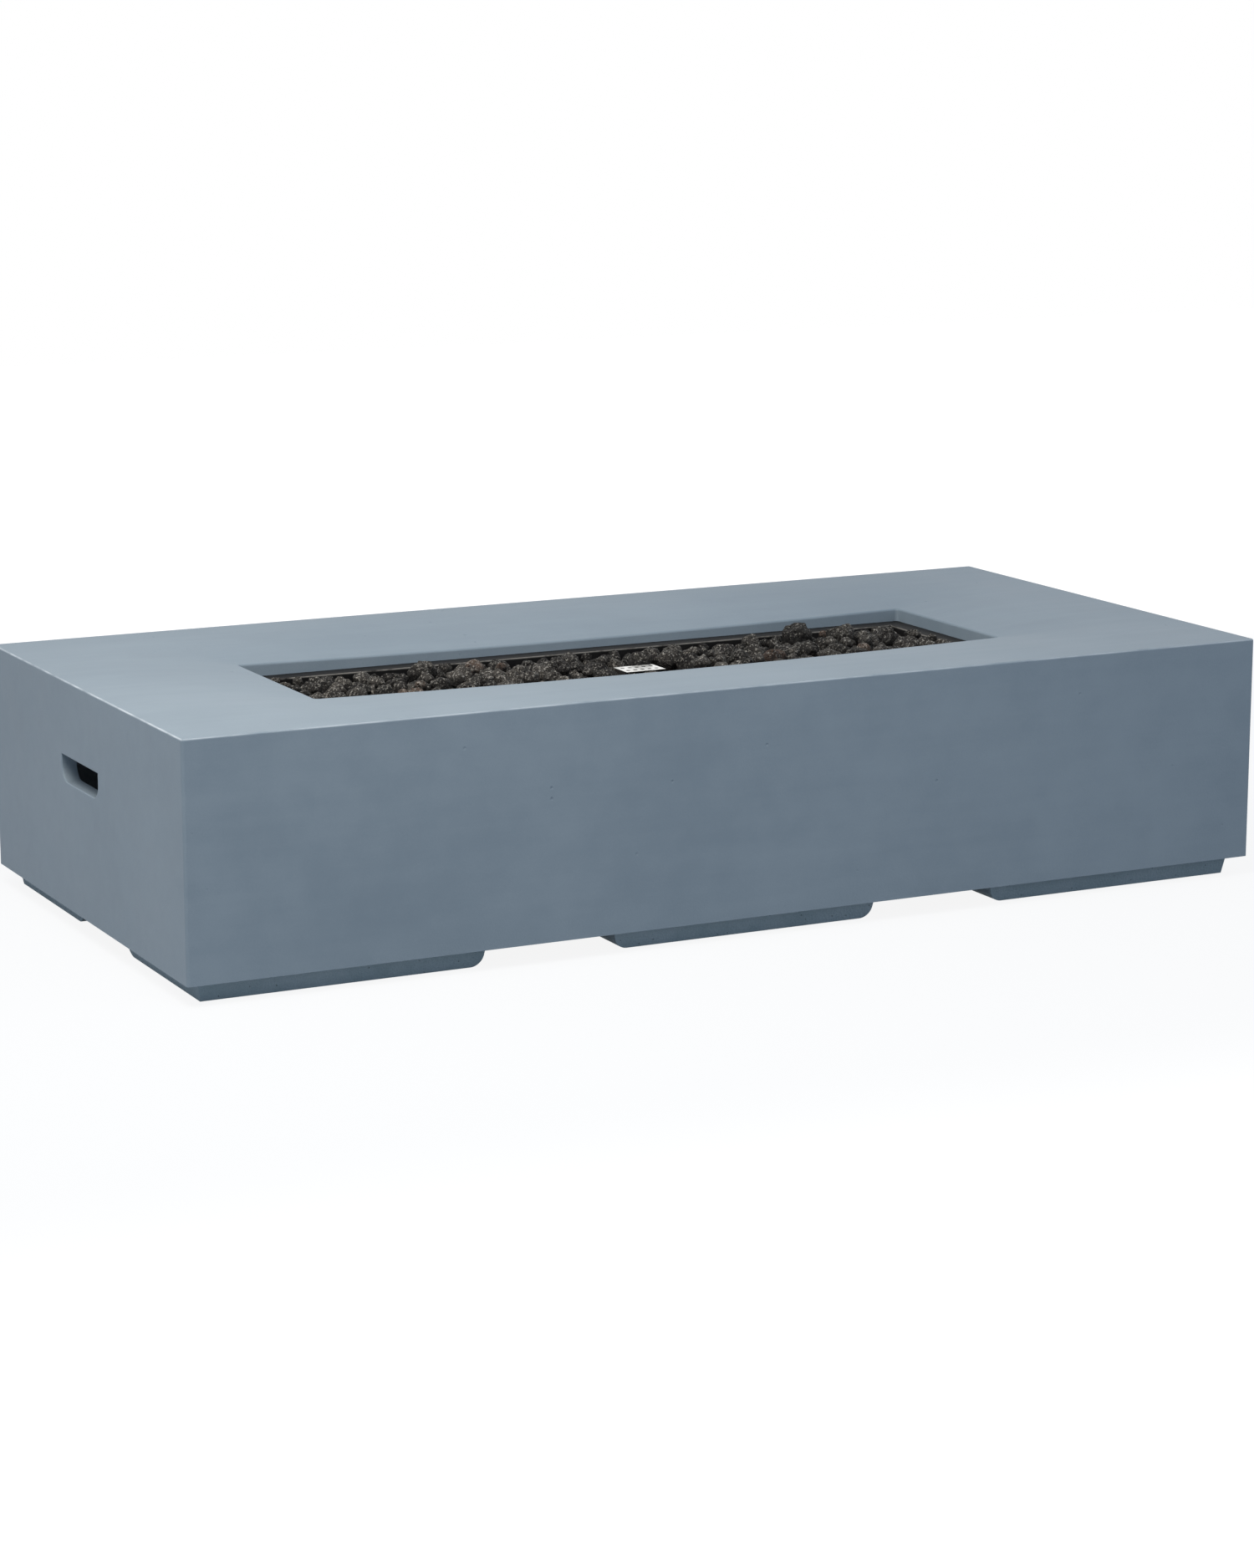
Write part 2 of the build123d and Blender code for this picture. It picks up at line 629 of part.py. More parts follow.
with BuildPart() as burner_pan:
    rounded_slab(pan_length, pan_width, PAN_CORNER, pan_bottom, flange_top)
    fillet(burner_pan.faces().sort_by(Axis.Z)[0].edges(), BEND_INSIDE + SHEET)
    rounded_slab(flange_length, flange_width, OPENING_ROUND, ledge_z, flange_top)
    inside_corner = PAN_CORNER - SHEET
    rounded_slab(pan_inside_length, pan_inside_width, inside_corner, pan_floor, flange_top, Mode.SUBTRACT)
    inside = burner_pan.edges().filter_by_position(Axis.X, -pan_length / 2, pan_length / 2)
    inside = inside.filter_by_position(Axis.Y, -pan_width / 2, pan_width / 2)
    fillet(inside.filter_by_position(Axis.Z, pan_floor - TOUCH, pan_floor + TOUCH), BEND_INSIDE)
    mouth = inside.filter_by_position(Axis.Z, flange_top - TOUCH, flange_top + TOUCH)
    fillet(mouth, BEND_INSIDE + SHEET / 2)
    rod((FEED_X, 0, pan_bottom), UP, SHEET, BURNER_RADIUS + HOLE_CLEARANCE, Mode.SUBTRACT)
    rod((*electrode_at, pan_bottom), UP, SHEET, INSULATOR_RADIUS + HOLE_CLEARANCE, Mode.SUBTRACT)
    rod((*probe_at, pan_bottom), UP, SHEET, PROBE_RADIUS + HOLE_CLEARANCE, Mode.SUBTRACT)
    for x, y in clip_screws + cover_screws_at:
        rod((x, y, pan_bottom), UP, SHEET, SCREW_RADIUS + HOLE_CLEARANCE, Mode.SUBTRACT)
    drain_length = pan_inside_length / 2 - DRAIN_FROM_END
    drain_width = pan_inside_width - 2 * DRAIN_FROM_SIDE
    with Locations((0, 0, pan_bottom)):
        with GridLocations(drain_length, drain_width, 3, 2):
            Cylinder(DRAIN_RADIUS, 4 * SHEET, mode=Mode.SUBTRACT)
save(burner_pan.part, "burner_pan")

# Burner loop
nipple_end = pan_bottom - NIPPLE_BELOW_PAN


def burner_loop(radius, mode):
    """Loop, cross tube and feed nipple of the burner at one radius."""
    for side in (-1, 1):
        rod((-loop_end, side * BURNER_RUN_Y, burner_z), (1, 0, 0), 2 * loop_end, radius, mode)
        end_plane = Plane((side * loop_end, -BURNER_RUN_Y, burner_z), x_dir=(0, 1, 0), z_dir=(1, 0, 0))
        with BuildSketch(end_plane) as end_section:
            Circle(radius)
        turn_axis = Axis((side * loop_end, 0, 0), (0, 0, side))
        revolve(end_section.sketch, turn_axis, revolution_arc=180, mode=mode)
    rod((FEED_X, -BURNER_RUN_Y, burner_z), REAR, 2 * BURNER_RUN_Y, radius, mode)
    rod((FEED_X, 0, nipple_end), UP, burner_z - nipple_end, radius, mode)


with BuildPart() as burner_tube:
    burner_loop(BURNER_RADIUS, Mode.ADD)
    burner_loop(BURNER_RADIUS - BURNER_WALL, Mode.SUBTRACT)
    port_spacing = 2 * loop_end / (PORT_COUNT + 1)
    for side in (-1, 1):
        port_direction = (0, side, 1)
        for index in range(PORT_COUNT):
            port_x = (index - (PORT_COUNT - 1) / 2) * port_spacing
            port_start = (port_x, side * BURNER_RUN_Y, burner_z)
            rod(port_start, port_direction, 2 * BURNER_RADIUS, PORT_RADIUS, Mode.SUBTRACT)
save(burner_tube.part, "burner_tube")

with BuildPart() as burner_clips:
    for x, y in clip_places:
        with BuildSketch(Plane((x - CLIP_WIDTH / 2, y, 0), x_dir=(0, 1, 0), z_dir=(1, 0, 0))) as strap:
            with Locations((0, burner_z)):
                Circle(clip_leg)
            leg_height = burner_z - pan_floor
            with Locations((0, pan_floor)):
                Rectangle(2 * clip_leg, leg_height, align=(Align.CENTER, Align.MIN))
                Rectangle(2 * (clip_leg + CLIP_TAB), SHEET, align=(Align.CENTER, Align.MIN))
            inner_leg = clip_leg - SHEET
            with Locations((0, pan_floor)):
                Rectangle(2 * inner_leg, leg_height, align=(Align.CENTER, Align.MIN), mode=Mode.SUBTRACT)
            with Locations((0, burner_z)):
                Circle(clip_leg)
                Circle(inner_leg, mode=Mode.SUBTRACT)
        extrude(strap.sketch, amount=CLIP_WIDTH)
    for x, y in clip_screws:
        rod((x, y, pan_floor), UP, SHEET, SCREW_RADIUS + HOLE_CLEARANCE, Mode.SUBTRACT)
save(burner_clips.part, "burner_clips")

with BuildPart() as burner_screws:
    for x, y in clip_screws:
        rod((x, y, pan_floor + SHEET), UP, SCREW_HEAD, SCREW_HEAD_RADIUS)
        rod((x, y, pan_bottom - SCREW_BELOW_PAN), UP, SCREW_BELOW_PAN + 2 * SHEET, SCREW_RADIUS)
save(burner_screws.part, "burner_screws")

# Gas train under the pan
locknut_bottom = pan_bottom - LOCKNUT_HEIGHT
mixer_top = locknut_bottom - LOCKNUT_TO_MIXER
mixer_bottom = mixer_top - MIXER_LENGTH
jet_bottom = mixer_bottom - JET_HEX
supply_seat = (FEED_X, 0, jet_bottom - STUB_LENGTH)

with BuildPart() as pan_locknut:
    hexagon((FEED_X, 0, locknut_bottom), UP, LOCKNUT_HEIGHT, LOCKNUT_FLATS)
    rod((FEED_X, 0, locknut_bottom), UP, LOCKNUT_HEIGHT, BURNER_RADIUS + RUNNING_FIT, Mode.SUBTRACT)
save(pan_locknut.part, "pan_locknut")

with BuildPart() as air_mixer:
    rod((FEED_X, 0, mixer_bottom), UP, MIXER_LENGTH, MIXER_RADIUS)
    bore_bottom = mixer_bottom + JET_GRIP
    rod((FEED_X, 0, bore_bottom), UP, mixer_top - bore_bottom, BURNER_RADIUS + RUNNING_FIT, Mode.SUBTRACT)
    rod((FEED_X, 0, mixer_bottom), UP, JET_GRIP, JET_RADIUS + RUNNING_FIT, Mode.SUBTRACT)
    slot_bottom = bore_bottom + MIXER_SLOT_MARGIN
    slot_top = nipple_end - MIXER_SLOT_MARGIN
    half_slot = MIXER_SLOT_WIDTH / 2
    block(
        (FEED_X - MIXER_RADIUS, -half_slot, slot_bottom),
        (FEED_X + MIXER_RADIUS, half_slot, slot_top),
        Mode.SUBTRACT,
    )
    block(
        (FEED_X - half_slot, -MIXER_RADIUS, slot_bottom),
        (FEED_X + half_slot, MIXER_RADIUS, slot_top),
        Mode.SUBTRACT,
    )
save(air_mixer.part, "air_mixer")

with BuildPart() as gas_jet:
    rod((FEED_X, 0, mixer_bottom), UP, JET_GRIP, JET_RADIUS)
    hexagon((FEED_X, 0, jet_bottom), UP, JET_HEX, JET_FLATS)
    rod(supply_seat, UP, STUB_LENGTH, STUB_RADIUS)
    rod(supply_seat, UP, STUB_LENGTH + JET_HEX, STUB_BORE_RADIUS, Mode.SUBTRACT)
    rod(supply_seat, UP, STUB_LENGTH + JET_HEX + JET_GRIP, PORT_RADIUS, Mode.SUBTRACT)
save(gas_jet.part, "gas_jet")

# Valve levels along its axis, from the panel inward
panel_out = rear_y - POCKET_DEPTH
panel_in = panel_out - SHEET
valve_back = panel_in - VALVE_DEPTH
valve_mid_y = panel_in - VALVE_DEPTH / 2
stem_in = panel_in - STEM_IN_VALVE
collar_back = stem_in - PUSH_COLLAR
return_spring_length = RETURN_SPRING_PRESSED + PUSH_TRAVEL
spring_floor = collar_back - return_spring_length
chamber_front = spring_floor - SPRING_FLOOR
push_tip = chamber_front - PUSH_TIP_OUT
chamber_back = push_tip - PUSH_TRAVEL - CHAMBER_SPARE
magnet_back = chamber_back - MAGNET_END_WALL
magnet_length = valve_back - magnet_back
outlet_seat = (KNOB_X - VALVE_WIDTH / 2 - STUB_LENGTH, valve_mid_y, CONTROL_HEIGHT)
inlet_seat = (KNOB_X, valve_mid_y, CONTROL_HEIGHT - VALVE_HEIGHT / 2 - STUB_LENGTH)
bezel_front = panel_out + BEZEL_SHEET
knob_back = bezel_front + SCREW_HEAD + PUSH_TRAVEL + KNOB_GAP
knob_bore = KNOB_HEIGHT - KNOB_CAP
stem_out = knob_back + knob_bore - SEAT_GAP
stem_flat = STEM_RADIUS - STEM_FLAT_CUT
plug_radius = STEM_RADIUS - STEM_WALL
bezel_radius = KNOB_RADIUS + BEZEL_MARGIN
magnet_stub = (KNOB_X, magnet_back - MAGNET_STUB_LENGTH, CONTROL_HEIGHT)

# Supply tube from the valve to the jet
supply_turn_x = FEED_X - SUPPLY_SWING
supply_low = supply_seat[2] - SUPPLY_DROP
supply_points = [
    outlet_seat,
    (supply_turn_x, valve_mid_y, CONTROL_HEIGHT),
    (supply_turn_x, 0, supply_low),
    (FEED_X, 0, supply_low),
    supply_seat,
]
save(bent_rod(supply_points, SUPPLY_BENDS, SUPPLY_RADIUS, "supply_tube"), "supply_tube")

with BuildPart() as supply_nuts:
    flare_nut(outlet_seat, (-1, 0, 0), STUB_RADIUS, SUPPLY_RADIUS)
    flare_nut(supply_seat, DOWN, STUB_RADIUS, SUPPLY_RADIUS)
save(supply_nuts.part, "supply_nuts")

# Spark and flame sensing
bracket_top = pan_floor + BRACKET_SHEET
cover_top = pan_floor + COVER_ABOVE_FLOOR
tab_top = bracket_top + COVER_SHEET
half_cover = COVER_LENGTH / 2

with BuildPart() as ignition_bracket:
    bracket_half = half_cover + COVER_TAB
    block(
        (PILOT_X - bracket_half, PILOT_Y - BRACKET_DEPTH / 2, pan_floor),
        (PILOT_X + bracket_half, PILOT_Y + BRACKET_DEPTH / 2, bracket_top),
    )
    rod((*electrode_at, pan_floor), UP, BRACKET_SHEET, INSULATOR_RADIUS + HOLE_CLEARANCE, Mode.SUBTRACT)
    rod((*probe_at, pan_floor), UP, BRACKET_SHEET, PROBE_RADIUS + HOLE_CLEARANCE, Mode.SUBTRACT)
    for x, y in cover_screws_at:
        rod((x, y, pan_floor), UP, BRACKET_SHEET, SCREW_RADIUS + HOLE_CLEARANCE, Mode.SUBTRACT)
save(ignition_bracket.part, "ignition_bracket")

with BuildPart() as ignition_cover:
    half_depth = COVER_DEPTH / 2
    tab_half = BRACKET_DEPTH / 2
    block(
        (PILOT_X - half_cover, PILOT_Y - half_depth, cover_top - COVER_SHEET),
        (PILOT_X + half_cover, PILOT_Y + half_depth, cover_top),
    )
    for side in (-1, 1):
        outer_x = PILOT_X + side * half_cover
        leg_x = sorted((outer_x, outer_x - side * COVER_SHEET))
        tab_x = sorted((outer_x - side * COVER_SHEET, outer_x + side * COVER_TAB))
        block((leg_x[0], PILOT_Y - tab_half, bracket_top), (leg_x[1], PILOT_Y + tab_half, cover_top))
        block((tab_x[0], PILOT_Y - tab_half, bracket_top), (tab_x[1], PILOT_Y + tab_half, tab_top))
    hole_pitch = (COVER_LENGTH - 2 * COVER_HOLE_FROM_END) / (COVER_HOLES - 1)
    row_pitch = (COVER_DEPTH - 2 * COVER_HOLE_FROM_SIDE) / (COVER_ROWS - 1)
    with Locations((PILOT_X, PILOT_Y, cover_top)):
        with GridLocations(hole_pitch, row_pitch, COVER_HOLES, COVER_ROWS):
            Cylinder(COVER_HOLE_RADIUS, 4 * COVER_SHEET, mode=Mode.SUBTRACT)
    for x, y in cover_screws_at:
        rod((x, y, bracket_top), UP, COVER_SHEET, SCREW_RADIUS + HOLE_CLEARANCE, Mode.SUBTRACT)
save(ignition_cover.part, "ignition_cover")

with BuildPart() as cover_screws:
    for x, y in cover_screws_at:
        rod((x, y, tab_top), UP, SCREW_HEAD, SCREW_HEAD_RADIUS)
        shank_bottom = pan_bottom - COVER_NUT - SCREW_BELOW_PAN
        rod((x, y, shank_bottom), UP, tab_top - shank_bottom, SCREW_RADIUS)
save(cover_screws.part, "cover_screws")

with BuildPart() as cover_nuts:
    for x, y in cover_screws_at:
        hexagon((x, y, pan_bottom - COVER_NUT), UP, COVER_NUT, COVER_NUT_FLATS)
        rod((x, y, pan_bottom - COVER_NUT), UP, COVER_NUT, SCREW_RADIUS + RUNNING_FIT, Mode.SUBTRACT)
save(cover_nuts.part, "cover_nuts")

insulator_top = cover_top - COVER_SHEET - SPARK_ROOM
insulator_bottom = pan_bottom - INSULATOR_BELOW_PAN
with BuildPart() as electrode_insulator:
    rod((*electrode_at, insulator_bottom), UP, insulator_top - insulator_bottom, INSULATOR_RADIUS)
    rod((*electrode_at, bracket_top), UP, BRACKET_SHEET, INSULATOR_COLLAR)
    bore = ELECTRODE_RADIUS + RUNNING_FIT
    rod((*electrode_at, insulator_bottom), UP, insulator_top - insulator_bottom, bore, Mode.SUBTRACT)
save(electrode_insulator.part, "electrode_insulator")

rod_top = insulator_top + ELECTRODE_PROUD
rod_bottom = insulator_bottom - BOOT_HEIGHT / 2
with BuildPart() as electrode_rod:
    rod((*electrode_at, rod_bottom), UP, rod_top - rod_bottom, ELECTRODE_RADIUS)
    tip = (electrode_at[0], electrode_at[1], rod_top - ELECTRODE_RADIUS)
    rod(tip, REAR, SPARK_TIP, ELECTRODE_RADIUS)
save(electrode_rod.part, "electrode_rod")

boot_bottom = insulator_bottom - BOOT_HEIGHT
boot_entry_z = boot_bottom + BOOT_HEIGHT / 2
boot_end = (electrode_at[0], electrode_at[1] + BOOT_NECK, boot_entry_z)
with BuildPart() as electrode_boot:
    rod((*electrode_at, boot_bottom), UP, BOOT_HEIGHT, BOOT_RADIUS)
    rod((*electrode_at, boot_entry_z), REAR, BOOT_NECK, LEAD_RADIUS + BOOT_WALL)
    rod((*electrode_at, rod_bottom), UP, insulator_bottom - rod_bottom, bore, Mode.SUBTRACT)
save(electrode_boot.part, "electrode_boot")

probe_top = rod_top
probe_bottom = pan_bottom - PROBE_BELOW_PAN
with BuildPart() as thermocouple_probe:
    rod((*probe_at, probe_bottom), UP, probe_top - probe_bottom, PROBE_RADIUS)
    rod((*probe_at, bracket_top), UP, BRACKET_SHEET, INSULATOR_COLLAR)
    fillet(thermocouple_probe.faces().sort_by(Axis.Z)[-1].edges(), PROBE_RADIUS / 2)
save(thermocouple_probe.part, "thermocouple_probe")

probe_lead_points = [
    (*probe_at, probe_bottom),
    (*probe_at, probe_bottom - PROBE_LEAD_DROP),
    (KNOB_X, magnet_stub[1] - PROBE_LEAD_RUN, CONTROL_HEIGHT),
    magnet_stub,
]
probe_lead = bent_rod(probe_lead_points, PROBE_LEAD_BENDS, PROBE_LEAD_RADIUS, "thermocouple_lead")
save(probe_lead, "thermocouple_lead")

# Igniter levels along its axis, from the panel inward
igniter_front = panel_out + IGNITER_FLANGE_HEIGHT
lip_back = igniter_front - IGNITER_LIP
skirt_front = lip_back - SEAT_GAP
skirt_back = skirt_front - BUTTON_SKIRT
igniter_spring_length = IGNITER_SPRING_PRESSED + BUTTON_TRAVEL
battery_front = skirt_back - igniter_spring_length
battery_back = battery_front - BATTERY_LENGTH
housing_back = battery_back - END_CAP_PLUG - SEAT_GAP
terminal_back = housing_back - END_CAP - TERMINAL_LENGTH
terminal = (IGNITER_X, terminal_back, CONTROL_HEIGHT)
igniter_bore = BATTERY_RADIUS + BATTERY_CLEARANCE
skirt_radius = igniter_bore - RUNNING_FIT
button_radius = skirt_radius - BUTTON_SHOULDER
igniter_radius = igniter_bore + IGNITER_WALL

ignition_lead_points = [
    terminal,
    (IGNITER_X, terminal_back - IGNITION_LEAD_RUN, CONTROL_HEIGHT),
    (electrode_at[0], boot_end[1] + IGNITION_LEAD_LEVEL_RUN, boot_entry_z),
    boot_end,
]
ignition_lead = bent_rod(ignition_lead_points, IGNITION_LEAD_BENDS, LEAD_RADIUS, "ignition_lead")
save(ignition_lead, "ignition_lead")

clip_y = boot_end[1] + LEAD_CLIP_FROM_BOOT
with BuildPart() as lead_clip:
    ring_outer = LEAD_RADIUS + SLIP_FIT + LEAD_CLIP_SHEET
    half_clip = LEAD_CLIP_WIDTH / 2
    rod((electrode_at[0], clip_y - half_clip, boot_entry_z), REAR, 2 * half_clip, ring_outer)
    block(
        (electrode_at[0] - LEAD_CLIP_SHEET / 2, clip_y - half_clip, boot_entry_z),
        (electrode_at[0] + LEAD_CLIP_SHEET / 2, clip_y + half_clip, pan_bottom),
    )
    block(
        (electrode_at[0] - LEAD_CLIP_TAB / 2, clip_y - half_clip, pan_bottom - LEAD_CLIP_SHEET),
        (electrode_at[0] + LEAD_CLIP_TAB / 2, clip_y + half_clip, pan_bottom),
    )
    ring_start = (electrode_at[0], clip_y - half_clip, boot_entry_z)
    rod(ring_start, REAR, 2 * half_clip, LEAD_RADIUS + SLIP_FIT, Mode.SUBTRACT)
save(lead_clip.part, "lead_clip")

# Control tray
tray_width = POCKET_WIDTH - 2 * TRAY_INSIDE_POCKET
tray_height = POCKET_HEIGHT - 2 * TRAY_INSIDE_POCKET
valve_screws_at = [(KNOB_X, panel_in, CONTROL_HEIGHT + s * VALVE_SCREW_SPACING / 2) for s in (-1, 1)]

with BuildPart() as control_tray:
    flange_w = POCKET_WIDTH + 2 * TRAY_FLANGE
    flange_h = POCKET_HEIGHT + 2 * TRAY_FLANGE
    control_slab(flange_w, flange_h, POCKET_ROUND, wall_inner - SHEET, wall_inner)
    control_slab(tray_width, tray_height, POCKET_ROUND, panel_in, wall_inner)
    inside_w = tray_width - 2 * SHEET
    inside_h = tray_height - 2 * SHEET
    control_slab(inside_w, inside_h, POCKET_ROUND - SHEET, panel_out, wall_inner, Mode.SUBTRACT)
    stem_hole = STEM_RADIUS + 2 * HOLE_CLEARANCE
    rod((KNOB_X, panel_in, CONTROL_HEIGHT), REAR, SHEET, stem_hole, Mode.SUBTRACT)
    rod((IGNITER_X, panel_in, CONTROL_HEIGHT), REAR, SHEET, igniter_radius + SLIP_FIT, Mode.SUBTRACT)
    for place in valve_screws_at:
        rod(place, REAR, SHEET, SCREW_RADIUS + HOLE_CLEARANCE, Mode.SUBTRACT)
    for x, y, z in tray_anchors:
        rod((x, wall_inner - SHEET, z), REAR, SHEET, SCREW_RADIUS + HOLE_CLEARANCE, Mode.SUBTRACT)
save(control_tray.part, "control_tray")

with BuildPart() as tray_screws:
    for x, y, z in tray_anchors:
        rod((x, wall_inner - SHEET - SCREW_HEAD, z), REAR, SCREW_HEAD, SCREW_HEAD_RADIUS)
        rod((x, wall_inner - SHEET, z), REAR, SHEET + ANCHOR_LENGTH - SEAT_GAP, SCREW_RADIUS)
save(tray_screws.part, "tray_screws")

# Valve

def on_knob_axis(y):
    """Point on the knob's axis."""
    return KNOB_X, y, CONTROL_HEIGHT


def on_igniter_axis(y):
    """Point on the igniter's axis."""
    return IGNITER_X, y, CONTROL_HEIGHT


with BuildPart() as valve_body:
    half_w = VALVE_WIDTH / 2
    half_h = VALVE_HEIGHT / 2
    block(
        (KNOB_X - half_w, valve_back, CONTROL_HEIGHT - half_h),
        (KNOB_X + half_w, panel_in, CONTROL_HEIGHT + half_h),
    )
    fillet(valve_body.edges().filter_by(Axis.Y), VALVE_EDGE_ROUND)
    rod(on_knob_axis(magnet_back), REAR, magnet_length, MAGNET_RADIUS)
    rod(magnet_stub, REAR, MAGNET_STUB_LENGTH, MAGNET_STUB_RADIUS)
    rod(outlet_seat, (1, 0, 0), STUB_LENGTH, STUB_RADIUS)
    rod(inlet_seat, UP, STUB_LENGTH, INLET_STUB_RADIUS)
    rod(on_knob_axis(spring_floor), REAR, panel_in - spring_floor, STEM_RADIUS + RUNNING_FIT, Mode.SUBTRACT)
    partition = spring_floor - chamber_front
    rod(on_knob_axis(chamber_front), REAR, partition, PUSH_ROD_RADIUS + RUNNING_FIT, Mode.SUBTRACT)
    chamber = chamber_front - chamber_back
    rod(on_knob_axis(chamber_back), REAR, chamber, CHAMBER_RADIUS, Mode.SUBTRACT)
    rod(outlet_seat, (1, 0, 0), STUB_LENGTH + half_w - STEM_RADIUS, STUB_BORE_RADIUS, Mode.SUBTRACT)
    rod(inlet_seat, UP, STUB_LENGTH + half_h - STEM_RADIUS, STUB_BORE_RADIUS, Mode.SUBTRACT)
    for place in valve_screws_at:
        rod(place, INWARD, VALVE_SCREW_DEPTH, SCREW_RADIUS + RUNNING_FIT, Mode.SUBTRACT)
save(valve_body.part, "valve_body")

with BuildPart() as valve_screws:
    for x, y, z in valve_screws_at:
        rod((x, bezel_front, z), REAR, SCREW_HEAD, SCREW_HEAD_RADIUS)
        shank_start = y - VALVE_SCREW_DEPTH + SEAT_GAP
        rod((x, shank_start, z), REAR, bezel_front - shank_start, SCREW_RADIUS)
save(valve_screws.part, "valve_screws")

with BuildPart() as valve_stem:
    rod(on_knob_axis(stem_in), REAR, stem_out - stem_in, STEM_RADIUS)
    socket = PUSH_PLUG_LENGTH + SEAT_GAP
    rod(on_knob_axis(stem_in), REAR, socket, plug_radius + RUNNING_FIT, Mode.SUBTRACT)
    block(
        (KNOB_X - STEM_RADIUS, knob_back, CONTROL_HEIGHT + stem_flat),
        (KNOB_X + STEM_RADIUS, stem_out, CONTROL_HEIGHT + STEM_RADIUS),
        Mode.SUBTRACT,
    )
save(valve_stem.part, "valve_stem")

with BuildPart() as safety_push_rod:
    rod(on_knob_axis(push_tip), REAR, collar_back - push_tip, PUSH_ROD_RADIUS)
    rod(on_knob_axis(collar_back), REAR, PUSH_COLLAR - RUNNING_FIT, STEM_RADIUS - PUSH_COLLAR_CLEARANCE)
    plug_start = collar_back + PUSH_COLLAR - RUNNING_FIT
    rod(on_knob_axis(plug_start), REAR, PUSH_PLUG_LENGTH, plug_radius)
save(safety_push_rod.part, "safety_push_rod")

spring_seat = on_knob_axis(spring_floor)
return_spring = coil(spring_seat, return_spring_length, RETURN_SPRING_RADIUS, RETURN_SPRING_TURNS)
save(return_spring, "return_spring")

# Knob and dial
knob_plane = Plane(on_knob_axis(knob_back), x_dir=(1, 0, 0), z_dir=REAR)
pointer_reach = KNOB_RADIUS - POINTER_FROM_EDGE

with BuildPart() as control_knob:
    with BuildSketch(knob_plane) as grip:
        Circle(KNOB_RADIUS)
        with PolarLocations(KNOB_RADIUS + FLUTE_RADIUS - FLUTE_DEPTH, KNOB_FLUTES):
            Circle(FLUTE_RADIUS, mode=Mode.SUBTRACT)
    extrude(grip.sketch, amount=KNOB_HEIGHT)
    fillet(control_knob.faces().sort_by(Axis.Y)[-1].edges(), KNOB_EDGE_ROUND)
    with BuildSketch(knob_plane) as bore_section:
        Circle(STEM_RADIUS + RUNNING_FIT)
        flat = stem_flat + RUNNING_FIT
        with Locations((0, -flat)):
            Rectangle(4 * STEM_RADIUS, STEM_RADIUS, align=(Align.CENTER, Align.MAX), mode=Mode.SUBTRACT)
    extrude(bore_section.sketch, amount=knob_bore, mode=Mode.SUBTRACT)
    knob_front = knob_back + KNOB_HEIGHT
    block(
        (KNOB_X - POINTER_WIDTH / 2, knob_front - POINTER_DEPTH, CONTROL_HEIGHT),
        (KNOB_X + POINTER_WIDTH / 2, knob_front, CONTROL_HEIGHT + pointer_reach),
        Mode.SUBTRACT,
    )
    screw_y = knob_back + knob_bore / 2
    screw_base = (KNOB_X, screw_y, CONTROL_HEIGHT + stem_flat)
    rod(screw_base, UP, KNOB_RADIUS, SCREW_RADIUS, Mode.SUBTRACT)
save(control_knob.part, "control_knob")

with BuildPart() as knob_pointer:
    pointer_low = CONTROL_HEIGHT + SLIP_FIT
    pointer_high = CONTROL_HEIGHT + pointer_reach - SLIP_FIT
    pointer_half = POINTER_WIDTH / 2 - SLIP_FIT
    block(
        (KNOB_X - pointer_half, knob_front - POINTER_DEPTH, pointer_low),
        (KNOB_X + pointer_half, knob_front, pointer_high),
    )
save(knob_pointer.part, "knob_pointer")

with BuildPart() as knob_set_screw:
    rod((KNOB_X, screw_y, CONTROL_HEIGHT + stem_flat), UP, SET_SCREW_LENGTH, SCREW_RADIUS - RUNNING_FIT)
save(knob_set_screw.part, "knob_set_screw")

with BuildPart() as dial_bezel:
    rod(on_knob_axis(panel_out), REAR, BEZEL_SHEET, bezel_radius)
    rod(on_knob_axis(panel_out), REAR, BEZEL_SHEET, stem_hole, Mode.SUBTRACT)
    for x, y, z in valve_screws_at:
        rod((x, panel_out, z), REAR, BEZEL_SHEET, SCREW_RADIUS + HOLE_CLEARANCE, Mode.SUBTRACT)
save(dial_bezel.part, "dial_bezel")

with BuildPart() as dial_marks:
    dial_plane = Plane(on_knob_axis(bezel_front), x_dir=(0, 0, 1), z_dir=REAR)
    with BuildSketch(dial_plane) as marks:
        mark_radius = (KNOB_RADIUS + bezel_radius) / 2
        for index in range(DIAL_MARKS):
            angle = DIAL_SWEEP * index / (DIAL_MARKS - 1)
            with PolarLocations(mark_radius, 1, start_angle=angle):
                Rectangle(MARK_LENGTH, MARK_WIDTH)
    extrude(marks.sketch, amount=MARK_HEIGHT)
save(dial_marks.part, "dial_marks")

# Igniter
with BuildPart() as igniter_housing:
    rod(on_igniter_axis(housing_back), REAR, panel_out - housing_back, igniter_radius)
    rod(on_igniter_axis(panel_out), REAR, IGNITER_FLANGE_HEIGHT, igniter_radius + IGNITER_FLANGE_WIDTH)
    fillet(igniter_housing.faces().sort_by(Axis.Y)[-1].edges(), IGNITER_EDGE_ROUND)
    bore_length = lip_back - housing_back
    rod(on_igniter_axis(housing_back), REAR, bore_length, igniter_bore, Mode.SUBTRACT)
    rod(on_igniter_axis(lip_back), REAR, IGNITER_LIP, button_radius + RUNNING_FIT, Mode.SUBTRACT)
save(igniter_housing.part, "igniter_housing")

